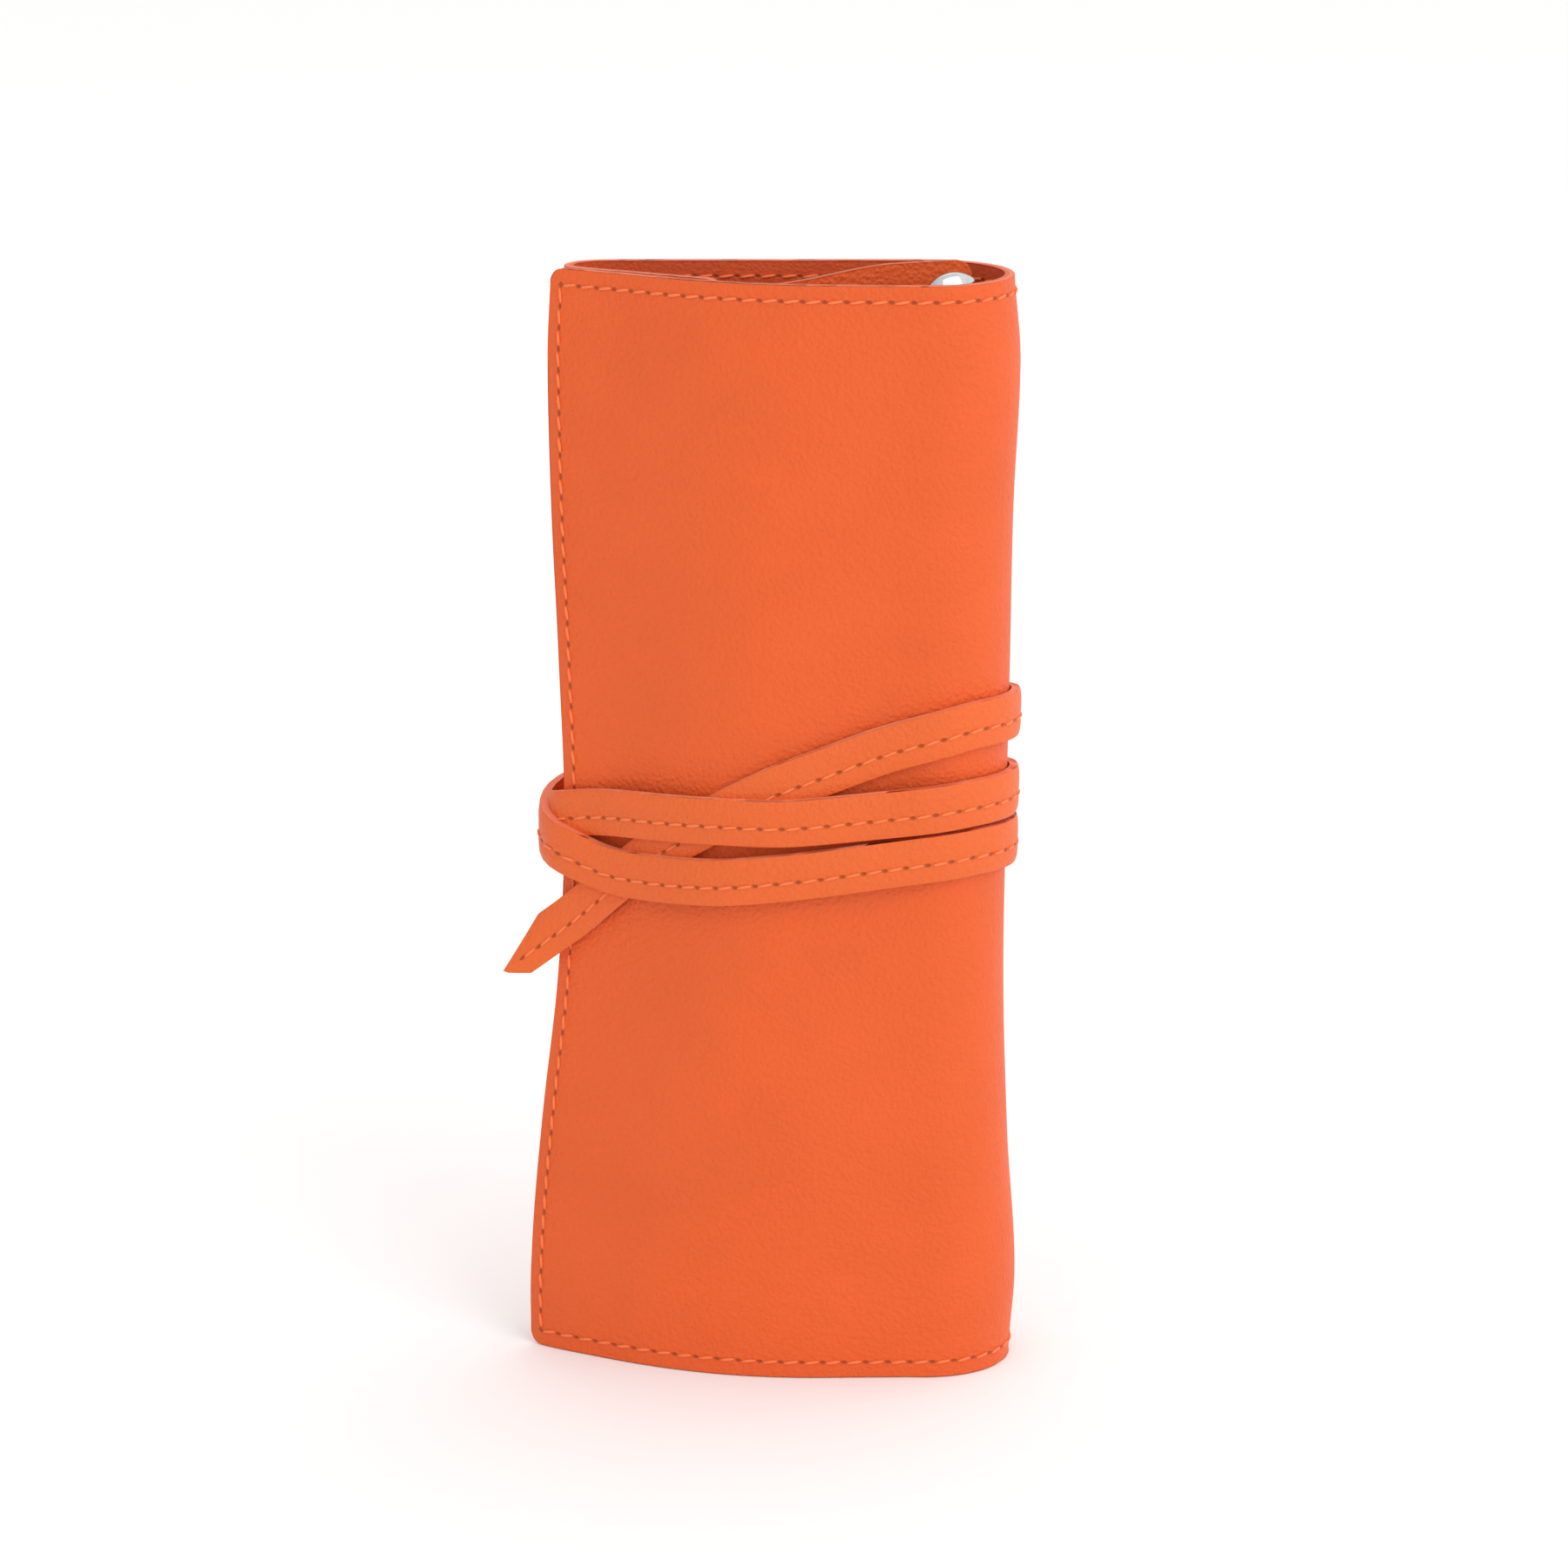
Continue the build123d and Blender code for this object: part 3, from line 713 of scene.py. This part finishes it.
for k, (s, width, turn) in enumerate(fold_turns):
    span = (cuts[k], cuts[k + 1])
    ends = (k == 0, k == len(fold_turns) - 1)
    reach = blend_reach(k)
    for kind, top, thick, finish in (
        ("cover", 0.0, COVER_THICK, cover_finish),
        ("lining", COVER_THICK, SHEET_THICK - COVER_THICK, lining_finish),
    ):
        mesh = layer(
            f"{kind}_{k + 1}", lambda a, z, d, top=top: on_sheet(a, z, d + top),
            span, (0.0, ROLL_HEIGHT), thick, ends, CORNER,
        )
        piece = add_object(
            f"{kind}_{k + 1}", mesh, finish, cut_edge if kind == "cover" else shaded_inner_edge,
        )
        plan_of(s - reach)
        plan_of(s + reach)
        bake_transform(piece)
nodes_of = {kind: [f"{LAYER_NODES[b]}_{kind}" for b in PANEL_BODIES] for kind in ("cover", "lining")}
for kind, names in nodes_of.items():
    for k in range(len(fold_turns)):
        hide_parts(names[k + 1])
    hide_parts(names[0])

# %% [markdown]
# ## Thread
# A stitch is a short length of thread that dips into a hole at each end. Hundreds are needed, so
# one stitch is a tiny six-sided bead, squashed and stretched into place. The outer row lies on
# the cover and the inner row on the lining.

# %% Thread
STITCH_LENGTH = 3.3 * MM
THREAD_RADIUS = 0.36 * MM


def stitch_template():
    """One stitch along x, as a bmesh: rounded, and thinner at its ends."""
    bm = bmesh.new()
    bmesh.ops.create_uvsphere(bm, u_segments=6, v_segments=5, radius=1.0)
    bmesh.ops.rotate(bm, verts=bm.verts, cent=(0, 0, 0), matrix=Matrix.Rotation(math.pi / 2, 3, "Y"))
    for vert in bm.verts:
        vert.co.x = math.copysign(abs(vert.co.x) ** 0.8, vert.co.x) * 0.5
    return bm


template_mesh = bpy.data.meshes.new("stitch template")
template = stitch_template()
template.to_mesh(template_mesh)
template.free()


def sew(name, stitches):
    """One mesh of stitches, each (place, along, outwards, length)."""
    bm = bmesh.new()
    for place, along, outwards, length in stitches:
        before = len(bm.verts)
        bm.from_mesh(template_mesh)
        bm.verts.ensure_lookup_table()
        side = outwards.cross(along).normalized()
        out = along.cross(side).normalized()
        turn = Matrix((along.normalized(), side, out)).transposed()
        sizes = Matrix.Diagonal((length, THREAD_RADIUS, THREAD_RADIUS))
        new = bm.verts[before:]
        bmesh.ops.transform(bm, verts=new, matrix=Matrix.Translation(place) @ (turn @ sizes).to_4x4())
    mesh = bpy.data.meshes.new(name)
    bm.to_mesh(mesh)
    bm.free()
    return add_object(name, mesh, thread_finish)


def seam_on(place, start, end, slant=0.16, lift=0.1 * MM):
    """Stitches along a straight seam of a flat map. place(a, b, out) gives its points."""
    (a0, b0), (a1, b1) = start, end
    length = math.hypot(a1 - a0, b1 - b0)
    count, pitch = seam_steps(0.0, length)
    direction = Vector(((a1 - a0) / length, (b1 - b0) / length))
    found = []
    for k in range(count):
        middle = Vector(start) + direction * (k + 0.5) * pitch
        half = direction * 0.3 * pitch
        here, ahead, behind = (
            place(*(middle + shift), lift) for shift in (Vector((0, 0)), half, -half)
        )
        out = place(*middle, lift + MM) - here
        along = ahead - behind
        side = out.cross(along).normalized()
        along = along.normalized() + slant * side
        found.append((middle, here, along.normalized(), out, STITCH_LENGTH))
    return found


def sew_sheet(kind, face_depth, sign):
    """All the stitches of one face of the sheet, in one piece for each hinge."""
    ends = END_END + SEAM_FROM_END, FLAP_END - SEAM_FROM_END
    sides = SEAM_FROM_SIDE, ROLL_HEIGHT - SEAM_FROM_SIDE
    place = lambda s, z, lift: on_sheet(s, z, face_depth - sign * lift)
    found = []
    for z in sides:
        found += seam_on(place, (ends[0], z), (ends[1], z))
    for s in ends:
        found += seam_on(place, (s, sides[0]), (s, sides[1]))
    for k, s in enumerate(fold_s):
        here = [row[1:] for row in found if cuts[k] <= row[0].x < cuts[k + 1]]
        reach = blend_reach(k)
        piece = sew(f"{kind}_stitches_{k + 1}", here)
        plan_of(s - reach)
        plan_of(s + reach)
        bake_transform(piece)
    return len(found)


print(sew_sheet("cover", 0.0, 1), "stitches outside")
print(sew_sheet("lining", SHEET_THICK, -1), "stitches inside")

# %% [markdown]
# ## The strap
# The strap is a flat band that starts under two rivets on the back and goes round the waist
# three times. Seen from above it follows a closed oval, so its path is a list of places round
# that oval, with a height and a layer at each. A band that lies on a bent sheet is straight on
# the flat one, so its width is set off square to the path on the unrolled oval.

# %% The strap's oval
LOOP_RADIUS = 8.9 * MM
STRAP = 1.8 * MM
STRAP_WIDTH = 10 * MM
LOW, HIGH = 0.45 * MM, 2.5 * MM
WAIST = 0.5 * ROLL_HEIGHT
margin_turn = right_folds[-1][1]
margin_fold = right_folds[-1][0]
back_y = START[1]
run = (back_y - margin_fold.y) / math.sin(math.radians(margin_turn))
loop_corner = Vector((margin_fold.x - run * math.cos(math.radians(margin_turn)), back_y))
loop_turn = 180.0 - margin_turn
loop_leg = LOOP_RADIUS * math.tan(math.radians(loop_turn / 2))
loop_folds = right_folds + [(loop_corner, loop_turn)]
loop_turns = lay_out(loop_folds, [right_leg] * 3 + [MARGIN_LEG, loop_leg], START)
loop_share = bend_share(loop_turn)
LOOP = loop_turns[-1][0] - loop_corner.x - loop_leg * (1 - loop_share)
loop_line = PlanLine(START, 0.0, loop_turns, 0.0, LOOP)
loop_half = loop_turns[-1][1] / 2
corner_u = [t[0] for t in loop_turns[:4]]
corner_u += [loop_turns[-1][0] - 0.28 * loop_half, loop_turns[-1][0] + 0.72 * loop_half]
side_lengths = [20.785, 20.785, 54.6, 49.0, 19.3, 83.6]
print("once round is", round(LOOP / MM, 1), "mm")


def loop_place(u, z, out):
    """A point a distance u round the oval, at a height, and off the sheet."""
    x, y = loop_line.point(u % LOOP, out)
    base = loop_line.point(u % LOOP)
    return settle(*base, z) + Vector((x - base[0], y - base[1], 0.0))


# %% The strap's path
ROUTE = [
    (-1, 5, 59.0, 5.7, LOW), (-1, 5, 75.0, 5.8, LOW), (0, 0, 0, 6.6, LOW), (0, 1, 0, 8.6, LOW),
    (0, 2, 0, 9.2, LOW), (0, 2, 12.6, 8.2, HIGH), (0, 2, 40.6, 5.4, HIGH), (0, 3, 0, 5.3, HIGH),
    (0, 3, 26.0, 4.2, HIGH), (0, 3, 38.0, 2.8, LOW), (0, 4, 0, 0.1, LOW), (0, 5, 0, -3.4, LOW),
    (0, 5, 55.0, -5.6, LOW), (1, 0, 0, -4.8, LOW), (1, 1, 0, -2.4, LOW), (1, 2, 0, -1.6, LOW),
    (1, 2, 16.0, -3.0, HIGH), (1, 2, 32.0, -5.3, HIGH), (1, 3, 0, -8.2, HIGH),
    (1, 3, 16.0, -9.0, HIGH), (1, 3, 30.0, -9.2, HIGH), (1, 3, 38.0, -7.4, HIGH),
    (1, 4, 0, -3.4, HIGH), (1, 5, 0, 2.6, HIGH), (1, 5, 63.0, 16.6, HIGH),
    (1, 5, 79.0, 20.2, LOW), (2, 0, 0, 22.6, LOW), (2, 1, 0, 25.6, LOW), (2, 2, 0, 26.4, LOW),
    (2, 2, 19.6, 21.2, LOW), (2, 2, 40.6, 13.2, LOW), (2, 3, 0, 6.6, LOW), (2, 3, 22.0, -5.4, LOW),
]
TAIL = [(2, 3, 32.0, -13.4, LOW), (2, 3, 41.0, -21.2, LOW), (2, 3, 57.0, -33.6, LOW)]


def route_row(row):
    """A route row as distance round the oval, height and layer."""
    lap, corner, past, height, out = row
    here = corner_u[corner]
    after = corner_u[corner + 1] if corner < 5 else LOOP + corner_u[0]
    return (lap * LOOP + here + past / side_lengths[corner] * (after - here),
            WAIST + height * MM, out)


def soft_path(rows, step=1.0 * MM):
    """Stations of a band: distance along it, then place, height and layer, all smoothed."""
    u_rows, z_rows, out_rows = zip(*(route_row(row) for row in rows))
    u = np.arange(u_rows[0], u_rows[-1], step)
    columns = []
    for values, width in ((z_rows, 17), (out_rows, 13)):
        line = np.interp(u, u_rows, values)
        ends = np.concatenate([
            2 * line[0] - line[width:0:-1], line, 2 * line[-1] - line[-2:-width - 2:-1],
        ])
        soft = np.convolve(ends, np.hanning(width + 2)[1:-1], "same") / np.hanning(width + 2).sum()
        columns.append(soft[width:-width])
    z, out = columns
    length = np.concatenate([[0.0], np.cumsum(np.hypot(np.diff(u), np.diff(z)))])
    return length, u, z, out


strap_path = soft_path(ROUTE + TAIL)
STRAP_SPLIT = float(np.interp(route_row(ROUTE[-1])[0], strap_path[1], strap_path[0]))
STRAP_LENGTH = float(strap_path[0][-1])
POINT = 8.5 * MM                    # how far the pointed end runs past its shoulders
TIP_SIDE = -0.12 * STRAP_WIDTH      # the point lies a little below the middle


def on_strap(t, w, depth):
    """A point of the strap. t runs along it, w up across it, depth from its outer face."""
    length, u_all, z_all, out_all = strap_path
    u, z = np.interp(t, length, u_all), np.interp(t, length, z_all)
    out = np.interp(t, length, out_all) + STRAP - depth
    ahead = np.interp(t + MM, length, u_all), np.interp(t + MM, length, z_all)
    behind = np.interp(t - MM, length, u_all), np.interp(t - MM, length, z_all)
    du, dz = ahead[0] - behind[0], ahead[1] - behind[1]
    size = math.hypot(du, dz)
    u_here, z_here = u - w * dz / size, z + w * du / size
    free = max(u - (2 * LOOP + corner_u[3] + 36 * MM), 0.0)
    if free == 0.0:
        return loop_place(u_here, z_here, out)
    return tail_place(u_here, z_here, out)


TAIL_FROM = corner_u[3] + 34 * MM
tail_line = PlanLine(
    START, 0.0,
    loop_turns[:4] + [(TAIL_FROM + 8 * MM, 16 * MM, -16.0)], 0.0, LOOP,
)


def tail_place(u, z, out):
    """A point of the strap's free end, which leaves the sheet."""
    x, y = tail_line.point(u % LOOP, out)
    base = tail_line.point(u % LOOP)
    return settle(*base, z) + Vector((x - base[0], y - base[1], 0.0))


print("strap", round(STRAP_LENGTH / MM), "mm, tail from", round(STRAP_SPLIT / MM))

# %% The strap's band and stitches
STRAP_SEAM = -0.1 * STRAP_WIDTH     # a little below the middle


def strap_point(t, w, depth):
    """A point of the band, whose free end is cut to a point."""
    reach = min(max((t - STRAP_LENGTH + 3 * POINT) / (3 * POINT), 0.0), 1.0)
    side = abs(w - TIP_SIDE) / (STRAP_WIDTH / 2 - math.copysign(TIP_SIDE, w - TIP_SIDE))
    return on_strap(t - reach * POINT * side, w, depth)


def strap_uv(s):
    return s - sheet_line.first + UV_MARGIN


STRAP_CROWN = 0.4 * MM


def strap_crown(_, w):
    """The strap is fullest along its middle and drawn in a little by its stitches."""
    across = abs(2 * w / STRAP_WIDTH)
    groove = math.exp(-((w - STRAP_SEAM) / (0.7 * MM)) ** 2)
    return STRAP_CROWN * (1 - across ** 5) - 0.18 * MM * groove


strap_seam_ends = 3 * MM, STRAP_LENGTH - 5 * MM
strap_finish = leather(
    "strap leather", STRAP_ORANGE, 0.03, 0.47,
    [(0, strap_uv(strap_seam_ends[0]), strap_uv(strap_seam_ends[1]), UV_MARGIN + STRAP_SEAM)],
)
strap_edge = plain_finish("strap edge", (0.82, 0.21, 0.11), 0.6, bump=0.3, specular=0.3)
half_width = STRAP_WIDTH / 2
stitch_rows = seam_on(
    lambda t, w, lift: strap_point(t, w, -lift - strap_crown(t, w)), (strap_seam_ends[0], STRAP_SEAM),
    (strap_seam_ends[1], STRAP_SEAM), slant=0.1,
)
for name, span, body, ends, node in (
    ("strap_band", (0.0, STRAP_SPLIT), "back_panel", (True, False), "wrap_strap"),
    ("strap_free_end", (STRAP_SPLIT, STRAP_LENGTH), "strap_end", (False, True), "strap_tail"),
):
    mesh = layer(
        name, strap_point, span, (-half_width, half_width), STRAP, ends, bulge=strap_crown,
    )
    band = add_object(name, mesh, strap_finish, strap_edge)
    threads = sew(name + "_stitches", [r[1:] for r in stitch_rows if span[0] <= r[0].x < span[1]])
    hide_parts(node)
    for piece in (band, threads):
        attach(piece, body)
        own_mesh(piece)
print(len(stitch_rows), "stitches on the strap")

# %% [markdown]
# ## The guard
# A loose leaf hangs from the end of the sheet and folds in over the brushes. Its edges are left
# raw and it has no stitching. It is drawn as its own line in plan, from the crease where it
# leaves the sheet to its free edge, and near the crease it moves with the settled end.

# %% The guard's line and leaf
GUARD_SHEET = 1.6 * MM
GUARD_LOW, GUARD_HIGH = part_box("guard_leaf")[0][2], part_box("guard_leaf")[1][2]
GUARD_CORNER = 3.5 * MM
GUARD_BOW = 2.0 * MM                # towards the flap, for room when it lies on the open sheet
BOW_SCALE = 27 / 4                  # brings the top of t (1 - t)^2 up to 1
DROP_ZONE = 5 * MM, 38 * MM         # the cut of its top edge rises between these
FREE_TIP = 12 * MM                  # this much of it keeps its own place
GUARD_DROP = 3.2 * MM               # its top edge is cut lower at the crease
end_edge = on_sheet(END_END, middle_z, SHEET_THICK + 0.3 * MM) - sheet_line.out(END_END).cross(
    Vector((0, 0, 1))) * 0.3 * MM
crease = end_edge.xy
guard_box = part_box("guard_leaf")
guard_tip = Vector((0.0392, guard_box[1][1]))
guard_way = guard_tip - crease
GUARD_SPAN = guard_way.length
guard_angle = math.degrees(math.atan2(guard_way.y, guard_way.x))
crease_heading = END_BOW - margin_turn
crease_turn = crease_heading - guard_angle
guard_line = PlanLine(
    (crease.x, crease.y), crease_heading, [(-0.2 * MM, 3 * MM, crease_turn)], -2 * MM, GUARD_SPAN,
)
BOW_TO = GUARD_SPAN - 15 * MM


def on_guard(s, z, depth):
    """A point of the guard, a depth in front of its back face."""
    x, y = guard_line.point(s, -depth)
    t = min(max(s / BOW_TO, 0.0), 1.0)
    bow = GUARD_BOW * BOW_SCALE * t * (1 - t) ** 2
    out = -guard_line.out(s) * bow
    edge = on_sheet(END_END, z, SHEET_THICK) - on_sheet(END_END, middle_z, SHEET_THICK)
    edge.z = 0.0
    follow = 1 - ease(s, 0.0, GUARD_SPAN - FREE_TIP)
    z -= GUARD_DROP * (1 - ease(s, *DROP_ZONE)) * ease(z, 0.5 * ROLL_HEIGHT, GUARD_HIGH)
    return Vector((x, y, z)) + out + edge * follow


hinge_end = 1.6 * MM
leaf_mesh = layer(
    "guard_leaf_sheet", on_guard, (hinge_end, GUARD_SPAN), (GUARD_LOW, GUARD_HIGH), GUARD_SHEET,
    (False, True), GUARD_CORNER,
)
guard_leaf = add_object("guard_leaf_sheet", leaf_mesh, guard_finish, shaded_inner_edge)
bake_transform(guard_leaf)
hinge_mesh = layer(
    "guard_crease_sheet", on_guard, (-0.9 * MM, hinge_end), (GUARD_LOW, GUARD_HIGH), GUARD_SHEET,
    (True, False),
)
guard_hinge = add_object("guard_crease_sheet", hinge_mesh, guard_finish, cut_edge)
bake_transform(guard_hinge)
for piece, node in ((guard_leaf, "guard_leaf"), (guard_hinge, "guard_hinge_strip")):
    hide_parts(node)
print("guard", round(GUARD_SPAN / MM, 1), "mm wide, at", round(guard_angle, 1), "degrees")

# %% [markdown]
# ## Pockets
# Two strips of thin leather are sewn to the lining, in upright rows that make a pocket for each
# brush. An empty pocket still stands a little off the lining, more at its mouth than at its foot.

# %% Pockets
POCKET_SHEET = 0.8 * MM
POCKET_SEAM = 1.5 * MM
POCKET_RISE = 0.9 * MM
POCKET_FOOT, POCKET_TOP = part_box("back_pocket_strip")[0][2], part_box("back_pocket_strip")[1][2]


def on_pocket(s, z, depth):
    """A point of a pocket strip, a depth below the face that shows."""
    return on_sheet(s, z, SHEET_THICK + POCKET_SHEET - depth)


def pocket_swell(first, last, count):
    """How far a strip of pockets stands off the lining, at each point."""
    pitch = (last - first - POCKET_SEAM) / count

    def swell(s, z):
        across = ((s - first - POCKET_SEAM / 2) / pitch) % 1.0
        mouth = 0.35 + 0.65 * ease(z, POCKET_FOOT, POCKET_TOP)
        return POCKET_RISE * mouth * math.sin(math.pi * across) ** 1.5 * ease(
            z, POCKET_FOOT + MM, POCKET_FOOT + 14 * MM
        )

    return swell


def make_pockets(name, node, first, last, count, parts):
    """A strip of pockets, in one piece for each pair of bodies that it crosses."""
    swell = pocket_swell(first, last, count)
    pitch = (last - first - POCKET_SEAM) / count
    flat_map = lambda s, z, lift: on_pocket(s, z, -lift)
    rows = []
    for k in range(count + 1):
        seam = first + POCKET_SEAM / 2 + k * pitch
        rows += seam_on(flat_map, (seam, POCKET_FOOT + 2 * MM), (seam, POCKET_TOP - 2 * MM))
    low = POCKET_FOOT + 1.6 * MM
    rows += seam_on(flat_map, (first + 3 * MM, low), (last - 3 * MM, low))
    for k, (start, end, bodies, reach) in enumerate(parts):
        mesh = layer(
            f"{name}_{k + 1}", on_pocket, (start, end), (POCKET_FOOT, POCKET_TOP), POCKET_SHEET,
            (start == first, end == last), bulge=swell,
        )
        piece = add_object(f"{name}_{k + 1}", mesh, pocket_finish, shaded_inner_edge)
        threads = sew(
            f"{name}_stitches_{k + 1}", [row[1:] for row in rows if start <= row[0].x < end],
        )
        for item in (piece, threads):
            if len(bodies) == 2:
                plan_of(reach[0])
                plan_of(reach[1])
                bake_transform(item)
            else:
                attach(item, bodies[0])
        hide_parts(node)
    return len(rows)


flap_reach = [(fold_s[k] - blend_reach(k), fold_s[k] + blend_reach(k)) for k in (5, 6)]
back_stitches = make_pockets(
    "back_pockets", "back_pocket_strip", -37 * MM, 26 * MM, 4,
    [(-37 * MM, 26 * MM, ["back_panel"], None)],
)
flap_first, flap_last = fold_s[5] + 2.5 * MM, fold_s[5] + 47 * MM
flap_stitches = make_pockets(
    "flap_pockets", "flap_pocket_strip", flap_first, flap_last, 3,
    [(flap_first, cuts[6], ["right_bend_2", "flap"], flap_reach[0]),
     (cuts[6], flap_last, ["flap", "flap_margin"], flap_reach[1])],
)
print(back_stitches + flap_stitches, "stitches on the pockets")

# %% [markdown]
# ## Snaps and rivets
# The caps of the snaps are polished domes with a rolled rim. The dome is drawn as half a section
# and spun round its axis, which gives a clean round form with few faces. The small parts behind
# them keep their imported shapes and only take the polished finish.

# %% Snaps and rivets
CAP_RADIUS, CAP_HEIGHT = 7.2 * MM, 2.2 * MM
CAP_SECTION = [
    (0.0, 1.0), (0.16, 0.99), (0.32, 0.955), (0.48, 0.885), (0.62, 0.79), (0.75, 0.66),
    (0.86, 0.5), (0.94, 0.34), (0.985, 0.2), (1.0, 0.1), (0.985, 0.02), (0.95, 0.0),
]
guard_back = guard_line.out(GUARD_SPAN - 4.2 * MM)
cap_axis = -guard_back
cap_x, cap_y = guard_line.point(GUARD_SPAN - 4.2 * MM, -GUARD_SHEET)


def cap_mesh(name, heights):
    """A spun dome, set at several heights in one mesh."""
    dome = bmesh.new()
    section = [dome.verts.new((r * CAP_RADIUS, 0, h * CAP_HEIGHT)) for r, h in CAP_SECTION]
    edges = [dome.edges.new(pair) for pair in zip(section, section[1:])]
    bmesh.ops.spin(
        dome, geom=section + edges, cent=(0, 0, 0), axis=(0, 0, 1), dvec=(0, 0, 0),
        angle=2 * math.pi, steps=48, use_merge=True,
    )
    bmesh.ops.remove_doubles(dome, verts=dome.verts, dist=1e-6)
    rim = [edge for edge in dome.edges if edge.is_boundary]
    bmesh.ops.contextual_create(dome, geom=rim)
    bmesh.ops.recalc_face_normals(dome, faces=dome.faces)
    turn = cap_axis.to_track_quat("Z", "Y").to_matrix().to_4x4()
    bmesh.ops.transform(dome, verts=dome.verts, matrix=Matrix.Translation((cap_x, cap_y, 0)) @ turn)
    one = bpy.data.meshes.new(name + " one")
    dome.to_mesh(one)
    dome.free()
    bm = bmesh.new()
    for z in heights:
        one.transform(Matrix.Translation((0, 0, z)))
        bm.from_mesh(one)
        one.transform(Matrix.Translation((0, 0, -z)))
    mesh = bpy.data.meshes.new(name)
    bm.to_mesh(mesh)
    bm.free()
    return mesh


snap_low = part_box("snap_caps")[0][2] + CAP_RADIUS
snap_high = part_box("snap_caps")[1][2] - CAP_RADIUS
caps = add_object("snap_cap_domes", cap_mesh("snap_cap_domes", (snap_low, snap_high)), chrome_finish)
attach(caps, "guard")
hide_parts("snap_caps")
for node in ("snap_sockets", "snap_studs", "snap_posts", "strap_rivets"):
    metal = frame["nodes"][node]
    for place in metal.material_slots:
        place.material = chrome_finish
print("caps at", round(snap_low / MM, 1), "and", round(snap_high / MM, 1), "mm")
